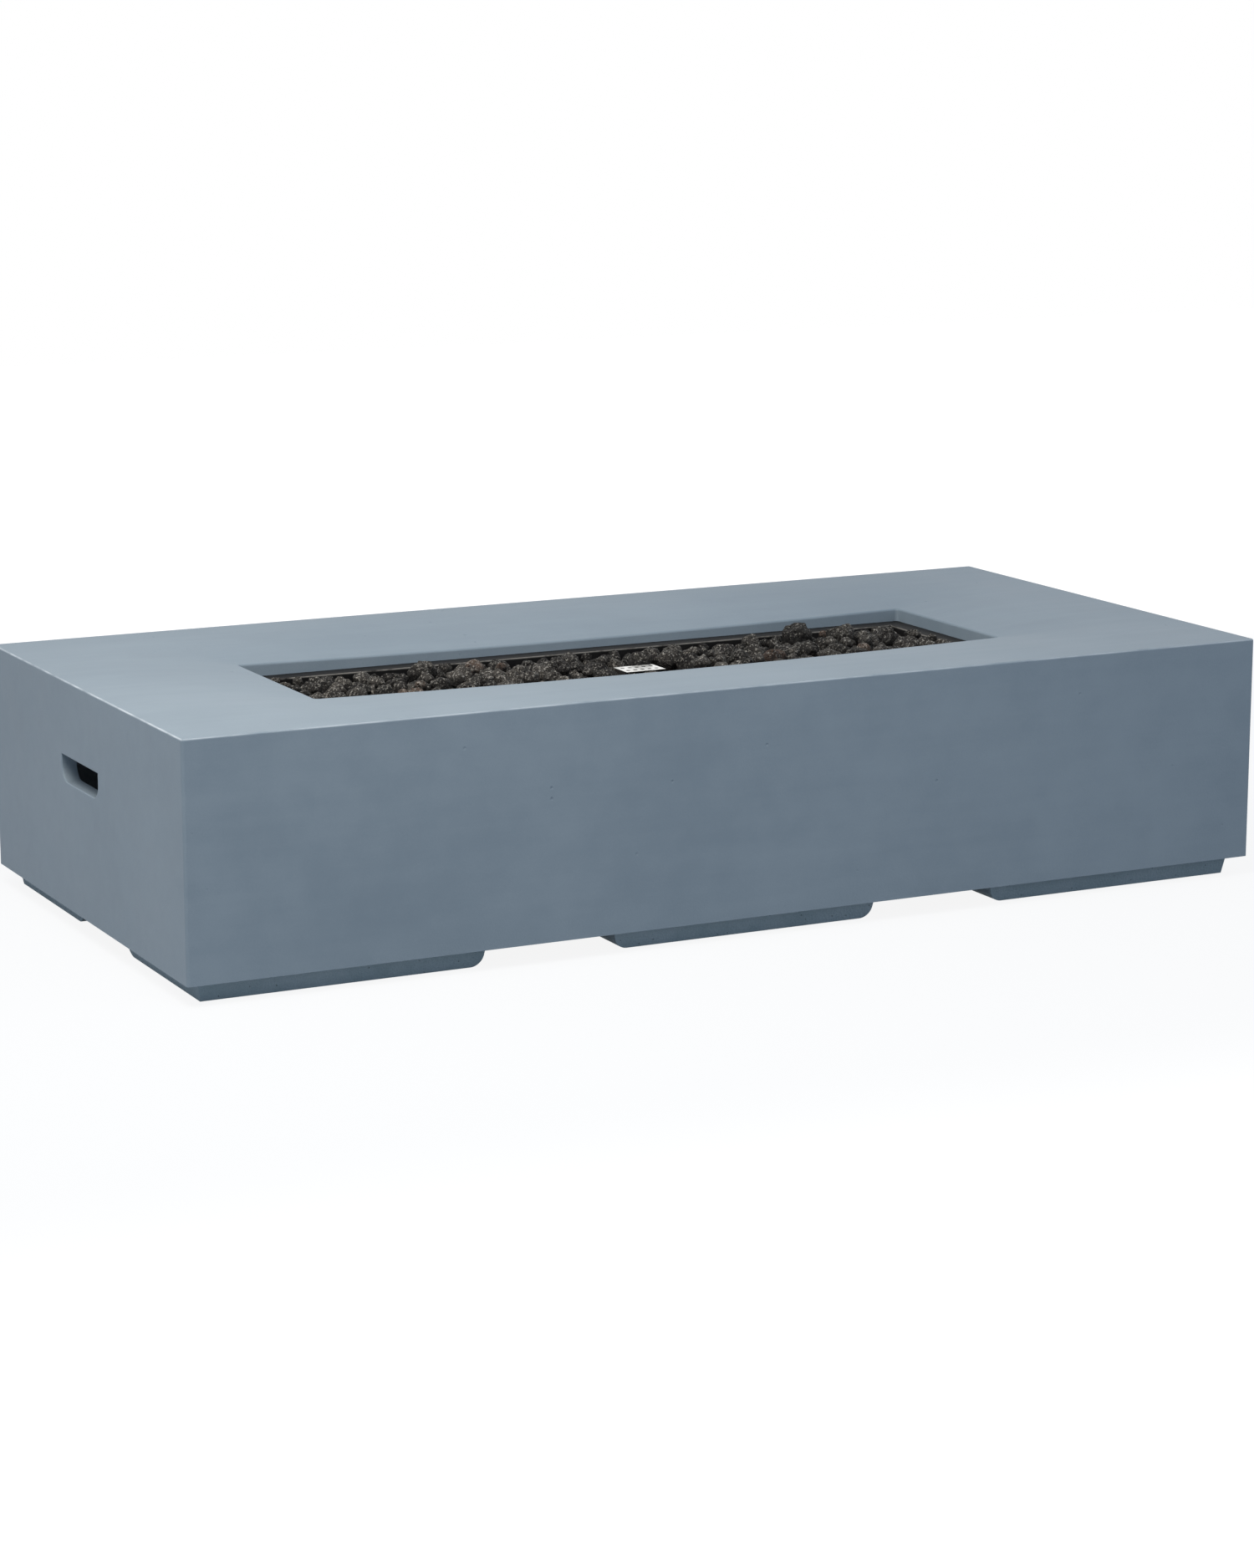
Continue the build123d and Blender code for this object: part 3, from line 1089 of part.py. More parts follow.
with BuildPart() as igniter_nut:
    nut_bore = igniter_radius + RUNNING_FIT
    nut_flats = 2 * (nut_bore + IGNITER_NUT_WALL)
    hexagon(on_igniter_axis(panel_in - IGNITER_NUT), REAR, IGNITER_NUT, nut_flats)
    rod(on_igniter_axis(panel_in - IGNITER_NUT), REAR, IGNITER_NUT, nut_bore, Mode.SUBTRACT)
save(igniter_nut.part, "igniter_nut")

with BuildPart() as igniter_button:
    rod(on_igniter_axis(skirt_back), REAR, BUTTON_SKIRT, skirt_radius)
    head = igniter_front + BUTTON_PROUD_PRESSED + BUTTON_TRAVEL - skirt_front
    rod(on_igniter_axis(skirt_front), REAR, head, button_radius)
    fillet(igniter_button.faces().sort_by(Axis.Y)[-1].edges(), BUTTON_EDGE_ROUND)
save(igniter_button.part, "igniter_button")

spring_seat = on_igniter_axis(battery_front)
igniter_spring = coil(spring_seat, igniter_spring_length, IGNITER_SPRING_RADIUS, IGNITER_SPRING_TURNS)
save(igniter_spring, "igniter_spring")

with BuildPart() as igniter_battery:
    rod(on_igniter_axis(battery_back), REAR, BATTERY_LENGTH, BATTERY_RADIUS)
    rod(on_igniter_axis(battery_front), REAR, BATTERY_NUB, BATTERY_NUB_RADIUS)
save(igniter_battery.part, "igniter_battery")

with BuildPart() as igniter_end_cap:
    rod(on_igniter_axis(housing_back - END_CAP), REAR, END_CAP, igniter_radius)
    rod(on_igniter_axis(housing_back), REAR, END_CAP_PLUG, skirt_radius)
    rod(terminal, REAR, TERMINAL_LENGTH, LEAD_RADIUS)
save(igniter_end_cap.part, "igniter_end_cap")

# Gas inlet
shelf_top = lip_top + INLET_BRACKET_RISE
shelf_bottom = shelf_top - INLET_BRACKET_SHEET
pin_top = shelf_bottom - INLET_LOCKNUT
fitting_seat = (KNOB_X, inlet_y, shelf_top + INLET_HEX + STUB_LENGTH)

with BuildPart() as inlet_fitting:
    rod((KNOB_X, inlet_y, pin_top - INLET_PIN_LENGTH), UP, INLET_PIN_LENGTH, INLET_PIN_RADIUS)
    rod((KNOB_X, inlet_y, pin_top), UP, shelf_top - pin_top, INLET_SHANK_RADIUS)
    hexagon((KNOB_X, inlet_y, shelf_top), UP, INLET_HEX, INLET_FLATS)
    rod((KNOB_X, inlet_y, shelf_top + INLET_HEX), UP, STUB_LENGTH, INLET_STUB_RADIUS)
    bore_z = pin_top - INLET_PIN_LENGTH
    rod((KNOB_X, inlet_y, bore_z), UP, fitting_seat[2] - bore_z, INLET_BORE_RADIUS, Mode.SUBTRACT)
save(inlet_fitting.part, "inlet_fitting")

with BuildPart() as inlet_locknut:
    hexagon((KNOB_X, inlet_y, pin_top), UP, INLET_LOCKNUT, INLET_LOCKNUT_FLATS)
    rod((KNOB_X, inlet_y, pin_top), UP, INLET_LOCKNUT, INLET_SHANK_RADIUS + RUNNING_FIT, Mode.SUBTRACT)
save(inlet_locknut.part, "inlet_locknut")

with BuildPart() as inlet_bracket:
    half = INLET_BRACKET_WIDTH / 2
    riser_back = bracket_riser_y + INLET_BRACKET_SHEET
    foot_end = riser_back + INLET_BRACKET_FOOT
    shelf_end = inlet_y - half
    block((KNOB_X - half, bracket_riser_y, lip_top), (KNOB_X + half, foot_end, lip_top + INLET_BRACKET_SHEET))
    block((KNOB_X - half, bracket_riser_y, lip_top), (KNOB_X + half, riser_back, shelf_top))
    block((KNOB_X - half, shelf_end, shelf_bottom), (KNOB_X + half, riser_back, shelf_top))
    shank_hole = INLET_SHANK_RADIUS + SLIP_FIT
    rod((KNOB_X, inlet_y, shelf_bottom), UP, INLET_BRACKET_SHEET, shank_hole, Mode.SUBTRACT)
    for x, y, z in bracket_anchors:
        rod((x, y, lip_top), UP, INLET_BRACKET_SHEET, SCREW_RADIUS + HOLE_CLEARANCE, Mode.SUBTRACT)
save(inlet_bracket.part, "inlet_bracket")

with BuildPart() as bracket_screws:
    for x, y, z in bracket_anchors:
        rod((x, y, z + INLET_BRACKET_SHEET), UP, SCREW_HEAD, SCREW_HEAD_RADIUS)
        shank_bottom = z - ANCHOR_LENGTH + SEAT_GAP
        rod((x, y, shank_bottom), UP, z + INLET_BRACKET_SHEET - shank_bottom, SCREW_RADIUS)
save(bracket_screws.part, "bracket_screws")

jog_middle = (inlet_seat[2] + fitting_seat[2]) / 2
inlet_points = [
    inlet_seat,
    (KNOB_X, valve_mid_y, jog_middle + INLET_TUBE_JOG),
    (KNOB_X, inlet_y, jog_middle - INLET_TUBE_JOG),
    fitting_seat,
]
save(bent_rod(inlet_points, INLET_TUBE_BENDS, INLET_TUBE_RADIUS, "inlet_tube"), "inlet_tube")

with BuildPart() as inlet_nuts:
    flare_nut(inlet_seat, DOWN, INLET_STUB_RADIUS, INLET_TUBE_RADIUS)
    flare_nut(fitting_seat, UP, INLET_STUB_RADIUS, INLET_TUBE_RADIUS)
save(inlet_nuts.part, "inlet_nuts")


# Lava rock: rough blocks let down one by one onto whatever lies highest under them
rng = random.Random(ROCK_SEED)
GOLDEN_ANGLE = math.pi * (3 - math.sqrt(5))


def rock_faces(size):
    """Outward directions and reaches of the faces of one rough block."""
    faces = []
    for index in range(ROCK_FACES):
        height = 1 - 2 * (index + 0.5) / ROCK_FACES + rng.uniform(-ROCK_TILT, ROCK_TILT)
        turn = index * GOLDEN_ANGLE + rng.uniform(-ROCK_TWIST, ROCK_TWIST)
        ring = math.sqrt(max(0.0, 1 - height**2))
        normal = Vector(ring * math.cos(turn), ring * math.sin(turn), height).normalized()
        spread = [a * n for a, n in zip(ROCK_AXES, normal)]
        faces.append((normal, size * math.hypot(*spread) * rng.uniform(ROCK_WEAR, 1.0)))
    return faces


def rough_block(size, faces):
    """Solid block cut to its faces."""
    with BuildPart() as rock:
        Box(4 * size, 4 * size, 4 * size)
        for normal, reach in faces:
            split(bisect_by=Plane(origin=normal * reach, z_dir=normal), keep=Keep.BOTTOM)
    return rock.part


def bed_level(x, y):
    """Highest that the bed goes at a place: lower to the rear and round the cover."""
    level = body_top - ROCK_LEVEL - ROCK_FALL * max(0.0, y)
    before_cover = PILOT_Y - COVER_DEPTH / 2 - y
    if abs(x - PILOT_X) < half_cover + COVER_SIDE and before_cover > -COVER_DEPTH:
        level = min(level, cover_top + COVER_SIGHT * max(0.0, before_cover))
    return level


class RockBed:
    """Heights of what already lies in the recess, on a square grid."""

    def __init__(self):
        half_x = OPENING_LENGTH / 2 - FLANGE_CLEARANCE
        half_y = OPENING_DEPTH / 2 - FLANGE_CLEARANCE
        self.xs = np.arange(-half_x, half_x, ROCK_GRID)
        self.ys = np.arange(-half_y, half_y, ROCK_GRID)
        x, y = np.meshgrid(self.xs, self.ys, indexing="ij")
        in_pan = abs(x) < pan_inside_length / 2 - ROCK_GRID
        in_pan &= abs(y) < pan_inside_width / 2 - ROCK_GRID
        self.on_flange = ~in_pan
        ground = np.where(in_pan, pan_floor, body_top)
        along = np.clip(x, -loop_end, loop_end)
        from_loop = abs(np.hypot(x - along, y) - BURNER_RUN_Y)
        from_cross = np.where(abs(y) < BURNER_RUN_Y, abs(x - FEED_X), burner_length)
        for distance in (from_loop, from_cross):
            reach = BURNER_RADIUS + ROCK_GRID / 2
            inside = np.clip(reach**2 - distance**2, 0, None)
            ground = np.where(distance < reach, burner_z + np.sqrt(inside), ground)
        for clip_x, clip_y in clip_places:
            tab = (abs(x - clip_x) < CLIP_WIDTH / 2) & (abs(y - clip_y) < clip_leg + CLIP_TAB)
            ground = np.where(tab, np.maximum(ground, pan_floor + SHEET), ground)
            strap_reach = clip_leg + ROCK_GRID / 2
            strap = (abs(x - clip_x) < (CLIP_WIDTH + ROCK_GRID) / 2) & (abs(y - clip_y) < strap_reach)
            arch = np.sqrt(np.clip(strap_reach**2 - (y - clip_y) ** 2, 0, None))
            ground = np.where(strap, burner_z + arch, ground)
        for screw_x, screw_y in clip_screws:
            head = np.hypot(x - screw_x, y - screw_y) < SCREW_HEAD_RADIUS + ROCK_GRID / 2
            ground = np.where(head, np.maximum(ground, pan_floor + SHEET + SCREW_HEAD), ground)
        cover_half = half_cover + COVER_TAB
        near_cover = (abs(x - PILOT_X) < cover_half) & (abs(y - PILOT_Y) < COVER_DEPTH / 2)
        self.ground = np.where(near_cover, body_top, ground)

    def bare_flange(self):
        """Let blocks lie on the flange too."""
        self.ground[self.on_flange] = flange_top

    def rest(self, faces, location, columns):
        """Best seat of a block over some grid columns: its height over the bed, its top and its place."""
        turned = Plane(location)
        frame = [turned.x_dir, turned.y_dir, turned.z_dir]
        reach = max(d for _, d in faces) * 1.6
        steps = np.arange(-int(reach / ROCK_GRID), int(reach / ROCK_GRID) + 1)
        x, y = np.meshgrid(steps * ROCK_GRID, steps * ROCK_GRID, indexing="ij")
        top = np.full(x.shape, reach)
        low = np.full(x.shape, -reach)
        for normal, distance in faces:
            n = frame[0] * normal.X + frame[1] * normal.Y + frame[2] * normal.Z
            level = distance + ROCK_CLEARANCE - n.X * x - n.Y * y
            if n.Z > 0:
                top = np.minimum(top, level / n.Z)
            else:
                low = np.maximum(low, level / n.Z)
        solid = top > low
        rows, cols = np.nonzero(solid)
        margin_low = -np.array([steps[rows.min()], steps[cols.min()]])
        margin_high = np.array([steps[rows.max()], steps[cols.max()]])
        best = None
        for fraction_x, fraction_y in columns:
            span_x = len(self.xs) - 1 - margin_low[0] - margin_high[0]
            span_y = len(self.ys) - 1 - margin_low[1] - margin_high[1]
            i = margin_low[0] + int(fraction_x * span_x)
            j = margin_low[1] + int(fraction_y * span_y)
            patch = (i + steps[rows], j + steps[cols])
            middle = (self.ground[patch] - low[solid]).max()
            highest = middle + top[solid].max()
            over = highest - bed_level(self.xs[i], self.ys[j])
            if best is None or over < best[0]:
                best = (over, highest, middle, i, j, patch, middle + top[solid])
        return best

    def take(self, seat):
        """Keep a block where it rests: its middle."""
        middle, i, j, patch, tops = seat[2:]
        self.ground[patch] = np.maximum(self.ground[patch], tops)
        return Vector(self.xs[i], self.ys[j], middle)


size_step = (ROCK_LARGE - ROCK_SMALL) / (ROCK_SHAPES - 1)
shape_sizes = [ROCK_SMALL + size_step * index for index in range(ROCK_SHAPES)]
shape_faces = [rock_faces(size) for size in shape_sizes]
shapes = [rough_block(size, faces) for size, faces in zip(shape_sizes, shape_faces)]
bed = RockBed()
zone_names = ("far_left", "left", "middle", "right", "far_right")
zones = {name: [] for name in zone_names}


def lower_rock(columns, smallest, largest):
    """Let a random block down over the best of some grid columns: its shape, turn and seat."""
    shape = rng.randrange(smallest, largest)
    turn = Location((0, 0, 0), tuple(rng.uniform(0, 360) for _ in range(3)))
    return shape, turn, bed.rest(shape_faces[shape], turn, columns)


def keep_rock(shape, turn, seat):
    """Leave a block on its seat, in the zone that it lies in."""
    middle = bed.take(seat)
    share = middle.X / OPENING_LENGTH + 0.5
    zone = zone_names[int(share * len(zone_names))]
    zones[zone].append(shapes[shape].moved(Location(middle) * turn))


def stand_out(share_x, share_y, below, smallest):
    """Leave the block that comes nearest to its height at a place, if one fits under the table top."""
    drops = [lower_rock([(share_x, share_y)], smallest, ROCK_SHAPES) for _ in range(ROCK_TRIES)]
    drops = [drop for drop in drops if drop[2][1] < body_top - ROCK_CLEARANCE]
    if drops:
        keep_rock(*min(drops, key=lambda drop: abs(body_top - below - drop[2][1])))


# A few rocks that stand out of the bed go in first
for x, y, below in CROWN_PLACES:
    stand_out(x / OPENING_LENGTH + 0.5, y / OPENING_DEPTH + 0.5, below, ROCK_SHAPES // 3)

for rock_pass in range(ROCK_PASSES):
    # Each pass picks among smaller shapes, which fill what the last one left
    choice = ROCK_SHAPES * (ROCK_PASSES - rock_pass) // ROCK_PASSES
    smallest = max(0, choice - ROCK_SHAPES // 2)
    misses = 0
    while misses < ROCK_MISSES:
        columns = [(rng.random(), rng.random()) for _ in range(ROCK_TRIES)]
        shape, turn, seat = lower_rock(columns, smallest, choice)
        if seat[0] > 0:
            misses += 1
            continue
        misses = 0
        keep_rock(shape, turn, seat)

# A row spills onto the flange at the left end
bed.bare_flange()
for index in range(END_ROCKS):
    stand_out(0.0, END_SHARE * (index + 0.5) / END_ROCKS, END_BELOW_TOP, 0)

for name, rocks in zones.items():
    save(Compound(children=rocks), f"lava_rocks_{name}")
print("rocks:", {name: len(rocks) for name, rocks in zones.items()})
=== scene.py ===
"""Looks of a low cast concrete gas fire table with a bed of lava rock.

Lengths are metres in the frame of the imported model: +X along the table, the front at -Y, +Z up.
Scales of noise and of cells are counts per metre.
"""
import logging
import math
import random
from dataclasses import dataclass, field
from enum import Enum
from typing import Any, Iterable, Optional, Union

import bmesh
import bpy
import numpy as np
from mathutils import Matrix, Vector, noise


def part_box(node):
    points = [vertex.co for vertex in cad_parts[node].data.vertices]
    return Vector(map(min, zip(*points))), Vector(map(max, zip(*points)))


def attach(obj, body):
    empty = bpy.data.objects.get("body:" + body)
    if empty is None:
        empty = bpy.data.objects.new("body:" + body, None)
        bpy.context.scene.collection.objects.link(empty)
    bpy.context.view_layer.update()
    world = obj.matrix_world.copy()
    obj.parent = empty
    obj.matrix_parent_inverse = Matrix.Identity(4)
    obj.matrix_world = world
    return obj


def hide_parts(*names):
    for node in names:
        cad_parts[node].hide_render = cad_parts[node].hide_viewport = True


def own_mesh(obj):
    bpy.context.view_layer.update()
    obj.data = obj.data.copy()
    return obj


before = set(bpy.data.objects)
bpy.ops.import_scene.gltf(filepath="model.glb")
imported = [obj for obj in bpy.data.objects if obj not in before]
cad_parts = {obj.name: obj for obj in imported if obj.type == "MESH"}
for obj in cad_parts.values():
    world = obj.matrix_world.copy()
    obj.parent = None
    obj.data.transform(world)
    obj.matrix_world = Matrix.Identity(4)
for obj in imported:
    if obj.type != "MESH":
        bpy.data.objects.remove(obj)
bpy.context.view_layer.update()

LOG = logging.getLogger("fire_table")

Pair = tuple[float, float]
Triple = tuple[float, float, float]
Colour = tuple[float, float, float, float]
Operand = Union["Wire", float]
Key = Union[int, str]

WHITE: Colour = (1.0, 1.0, 1.0, 1.0)
NOISE_MIDDLE = 0.5


def srgb(red: int, green: int, blue: int) -> Colour:
    """Colour of a screen value from 0 to 255, as linear light.

    Args:
        red: Screen value of red.
        green: Screen value of green.
        blue: Screen value of blue.

    Returns:
        The linear colour, opaque.
    """
    def linear(value: int) -> float:
        """Linear light of one screen value."""
        share = value / 255
        return share / 12.92 if share <= 0.04045 else ((share + 0.055) / 1.055) ** 2.4

    return linear(red), linear(green), linear(blue), 1.0


def new_object(name: str, data: bpy.types.ID) -> bpy.types.Object:
    """Add an object to the scene.

    Args:
        name: Name of the object.
        data: Its mesh, lamp or camera.

    Returns:
        The object.
    """
    made = bpy.data.objects.new(name, data)
    bpy.context.scene.collection.objects.link(made)
    return made


class Body(Enum):
    """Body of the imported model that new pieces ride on."""

    TABLE = "table"


class Joint(Enum):
    """Joints that press a spring."""

    KNOB_PUSH = "knob_push"
    IGNITER_PRESS = "igniter_press"


class Wire:
    """An output socket: arithmetic on it adds Math nodes."""

    def __init__(self, recipe: "Recipe", socket: bpy.types.NodeSocket) -> None:
        """Wrap a socket of a recipe's tree."""
        self.recipe = recipe
        self.socket = socket

    def _math(self, operation: str, first: Operand, second: Operand) -> "Wire":
        """Add one Math node."""
        return self.recipe.node("ShaderNodeMath", {"operation": operation}, {0: first, 1: second})

    def __add__(self, other: Operand) -> "Wire":
        """Sum."""
        return self._math("ADD", self, other)

    def __radd__(self, other: Operand) -> "Wire":
        """Reflected sum."""
        return self._math("ADD", other, self)

    def __sub__(self, other: Operand) -> "Wire":
        """Difference."""
        return self._math("SUBTRACT", self, other)

    def __rsub__(self, other: Operand) -> "Wire":
        """Reflected difference."""
        return self._math("SUBTRACT", other, self)

    def __mul__(self, other: Operand) -> "Wire":
        """Product."""
        return self._math("MULTIPLY", self, other)

    def __abs__(self) -> "Wire":
        """Size without sign."""
        return self._math("ABSOLUTE", self, 0.0)

    def larger(self, other: Operand) -> "Wire":
        """The larger of two values."""
        return self._math("MAXIMUM", self, other)

    def ramp(self, low: float, high: float) -> "Wire":
        """Smooth step.

        Args:
            low: Value that gives 0.
            high: Value that gives 1.

        Returns:
            The step, from 0 to 1.
        """
        settings = {"interpolation_type": "SMOOTHSTEP"}
        sockets = {"Value": self, "From Min": low, "From Max": high}
        return self.recipe.node("ShaderNodeMapRange", settings, sockets)


class Recipe:
    """A node tree that is filled one node at a time."""

    def __init__(self, tree: bpy.types.NodeTree) -> None:
        """Start from an empty tree."""
        self.tree = tree
        tree.nodes.clear()

    @staticmethod
    def _socket(sockets: Any, key: Key) -> bpy.types.NodeSocket:
        """Find a socket.

        Args:
            sockets: Inputs or outputs of a node.
            key: Number, identifier or name.

        Returns:
            The socket.
        """
        if isinstance(key, int):
            return sockets[key]
        return next((s for s in sockets if s.identifier == key), None) or sockets[key]

    def node(
        self,
        kind: str,
        settings: Optional[dict[str, Any]] = None,
        sockets: Optional[dict[Key, Any]] = None,
        output: Key = 0,
    ) -> Wire:
        """Add a node.

        Args:
            kind: Type of the node.
            settings: Properties that are set first.
            sockets: Values or wires of the inputs.
            output: Output that is handed back.

        Returns:
            The chosen output, or the first input of a node without outputs.
        """
        made = self.tree.nodes.new(kind)
        for key, value in (settings or {}).items():
            setattr(made, key, value)
        for key, value in (sockets or {}).items():
            socket = self._socket(made.inputs, key)
            if isinstance(value, Wire):
                self.tree.links.new(value.socket, socket)
            else:
                socket.default_value = value
        if not made.outputs:
            return Wire(self, made.inputs[0])
        return Wire(self, self._socket(made.outputs, output))

    def place(self) -> Wire:
        """Point of the surface in the frame."""
        return self.node("ShaderNodeTexCoord", output="Object")

    def attribute(self, name: str) -> Wire:
        """Value that the mesh carries at the point."""
        return self.node("ShaderNodeAttribute", {"attribute_name": name}, output="Fac")

    def axes(self, place: Wire) -> tuple[Wire, Wire, Wire]:
        """Part a point.

        Args:
            place: Point in the frame.

        Returns:
            Its three coordinates.
        """
        x = self.node("ShaderNodeSeparateXYZ", sockets={0: place})
        outputs = x.socket.node.outputs
        return x, Wire(self, outputs[1]), Wire(self, outputs[2])

    def stretch(self, place: Wire, axes: Triple) -> Wire:
        """Point with its axes scaled, for streaks."""
        return self.node("ShaderNodeVectorMath", {"operation": "MULTIPLY"}, {0: place, 1: axes})

    def noise(self, place: Wire, scale: float, detail: float = 3.0, roughness: float = 0.55) -> Wire:
        """Cloudy noise from 0 to 1."""
        sockets = {"Vector": place, "Scale": scale, "Detail": detail, "Roughness": roughness}
        return self.node("ShaderNodeTexNoise", sockets=sockets)

    def cells(self, place: Wire, scale: float) -> tuple[Wire, Wire]:
        """Scatter cells.

        Args:
            place: Point in the frame.
            scale: Cells per metre.

        Returns:
            Distance to the nearest cell point, in cells, and a random value of that cell.
        """
        distance = self.node("ShaderNodeTexVoronoi", sockets={"Vector": place, "Scale": scale})
        colour = Wire(self, distance.socket.node.outputs[1])
        return distance, self.node("ShaderNodeSeparateColor", sockets={0: colour})

    def mix(self, share: Operand, first: Any, second: Any) -> Wire:
        """Blend of two colours."""
        sockets = {"Factor_Float": share, "A_Color": first, "B_Color": second}
        return self.node("ShaderNodeMix", {"data_type": "RGBA"}, sockets, "Result_Color")

    def bump(self, height: Wire, depth: float) -> Wire:
        """Normal of a rough surface: depth is the height of a full step."""
        sockets = {"Height": height, "Distance": depth, "Strength": 1.0}
        return self.node("ShaderNodeBump", sockets=sockets)

    def surface(self, sockets: dict[Key, Any]) -> None:
        """Close a material with a Principled shader."""
        shader = self.node("ShaderNodeBsdfPrincipled", sockets=sockets)
        self.node("ShaderNodeOutputMaterial", sockets={"Surface": shader})


@dataclass(frozen=True)
class Finish:
    """A procedural material."""

    name: str

    def dress(self, recipe: Recipe) -> None:
        """Fill the material's node tree.

        Args:
            recipe: Empty tree of the material.
        """
        raise NotImplementedError

    def material(self) -> bpy.types.Material:
        """Make the material on first use.

        Returns:
            The material.
        """
        made = bpy.data.materials.get(self.name)
        if made is None:
            made = bpy.data.materials.new(self.name)
            made.use_nodes = True
            self.dress(Recipe(made.node_tree))
        return made


@dataclass(frozen=True)
class CastConcrete(Finish):
    """Cast concrete with clouds, fine sand and small air holes."""

    dark: Colour
    light: Colour
    wear_and_painted_light: Colour
    high: Triple
    roughness: float = 0.52
    mottle_rough: float = 0.16
    hole_rough: float = 0.2
    specular: float = 0.26
    cloud: float = 2.6
    mottle: float = 17.0
    streak: float = 3.0
    streak_axes: Triple = (1.5, 14.0, 14.0)
    sand: float = 420.0
    sand_depth: float = 0.00012
    tone_shares: tuple[float, ...] = (0.45, 0.3, 0.15, 0.1)
    tone_range: Pair = (0.32, 0.68)
    hole_scale: float = 60.0
    hole_share: float = 0.03
    hole_fade: float = 1.1
    hole_range: Pair = (0.05, 0.16)
    hole_dark: float = 0.55
    hole_depth: float = 0.0006
    edge: float = 0.0024
    edge_fade: float = 0.3
    edge_highlight_share: float = 0.9
    edge_patches: Pair = (0.25, 0.65)
    side_highlight_share: float = 0.5

    def dress(self, recipe: Recipe) -> None:
        """Clouded colour, edge wear with a painted highlight, sand and holes.

        Args:
            recipe: Empty tree of the material.
        """
        place = recipe.place()
        cloud = recipe.noise(place, self.cloud, detail=4.0)
        mottle = recipe.noise(place, self.mottle, detail=5.0)
        streak = recipe.noise(recipe.stretch(place, self.streak_axes), self.streak, detail=3.0)
        sand = recipe.noise(place, self.sand, detail=2.0)
        of_cloud, of_mottle, of_streak, of_sand = self.tone_shares
        tone = cloud * of_cloud + mottle * of_mottle + streak * of_streak + sand * of_sand
        colour = recipe.mix(tone.ramp(*self.tone_range), self.dark, self.light)
        distance, chance = recipe.cells(place, self.hole_scale)
        whole = chance.ramp(self.hole_share, self.hole_share * self.hole_fade)
        hole = (1.0 - distance.ramp(*self.hole_range)) * (1.0 - whole)
        colour = recipe.mix(hole * self.hole_dark, colour, self.dark)
        # Painted highlight, partly edge wear: a light line along the top edges, full at the ends and weaker
        # along the sides.
        edges = self._edge_highlight_mask(recipe, place) * mottle.ramp(*self.edge_patches)
        colour = recipe.mix(edges * self.edge_highlight_share, colour, self.wear_and_painted_light)
        height = sand * (self.sand_depth / self.hole_depth) - hole
        uneven = (mottle - NOISE_MIDDLE) * self.mottle_rough
        recipe.surface({
            "Base Color": colour,
            "Roughness": self.roughness + uneven + hole * self.hole_rough,
            "Specular IOR Level": self.specular,
            "Normal": recipe.bump(height, self.hole_depth),
        })

    def _edge_highlight_mask(self, recipe: Recipe, place: Wire) -> Wire:
        """Find the outer top edges, where two faces of the box meet, for the painted highlight.

        Args:
            recipe: Tree of the material.
            place: Point in the frame.

        Returns:
            Mask from 0 to 1.
        """
        x, y, z = recipe.axes(place)
        near_end, near_side, near_top = (
            reach.ramp(limit - self.edge, limit - self.edge * self.edge_fade)
            for reach, limit in zip((abs(x), abs(y), z), self.high)
        )
        return near_top * near_end.larger(near_side * self.side_highlight_share)


@dataclass(frozen=True)
class LavaStone(Finish):
    """Porous lava: dark cinder with grey-tan crusts and a few rusty lumps."""

    cinder: Colour = srgb(20, 19, 18)
    crust: Colour = srgb(82, 78, 73)
    ash: Colour = srgb(204, 198, 188)
    rust: Colour = srgb(118, 92, 76)
    pore: Colour = srgb(9, 8, 8)
    roughness: float = 0.82
    fleck_rough: float = 0.15
    specular: float = 0.3
    patch_scale: float = 90.0
    patch_share: float = 0.6
    tone_share: float = 0.55
    crust_range: Pair = (0.4, 1.0)
    rust_range: Pair = (0.25, 0.6)
    rust_share: float = 0.8
    fleck_scale: float = 300.0
    fleck_range: Pair = (0.52, 0.64)
    fleck_least: float = 0.4
    fleck_tone: float = 0.45
    fleck_height: float = 0.5
    pore_scale: float = 330.0
    pore_range: Pair = (0.15, 0.5)
    pore_chance: Pair = (0.3, 0.4)
    pore_share: float = 0.9
    dark_share: float = 0.92
    relief: float = 0.0018

    def dress(self, recipe: Recipe) -> None:
        """Colour from the lump's own tone, its pits with painted shade in its hollows and on its lower sides,
        and fine pores.

        Args:
            recipe: Empty tree of the material.
        """
        place = recipe.place()
        tone = recipe.attribute("tone")
        rust = recipe.attribute("rust")
        # The pit attribute also carries painted shade in the hollows and on the lower sides of each lump.
        pit = recipe.attribute("pit")
        patch = recipe.noise(place, self.patch_scale, detail=4.0, roughness=0.65)
        fleck = recipe.noise(place, self.fleck_scale, detail=4.0, roughness=0.72)
        distance, chance = recipe.cells(place, self.pore_scale)
        pore = (1.0 - distance.ramp(*self.pore_range)) * chance.ramp(*self.pore_chance)
        crusted = (patch * self.patch_share + tone * self.tone_share).ramp(*self.crust_range)
        colour = recipe.mix(crusted, self.cinder, self.crust)
        rusted = rust * patch.ramp(*self.rust_range) * self.rust_share
        colour = recipe.mix(rusted, colour, self.rust)
        flecked = fleck.ramp(*self.fleck_range) * (self.fleck_least + tone * self.fleck_tone)
        colour = recipe.mix(flecked, colour, self.ash)
        dark = pit.larger(pore * self.pore_share)
        colour = recipe.mix(dark * self.dark_share, colour, self.pore)
        recipe.surface({
            "Base Color": colour,
            "Roughness": self.roughness + fleck * self.fleck_rough,
            "Specular IOR Level": self.specular,
            "Normal": recipe.bump(fleck * self.fleck_height - pore, self.relief),
        })


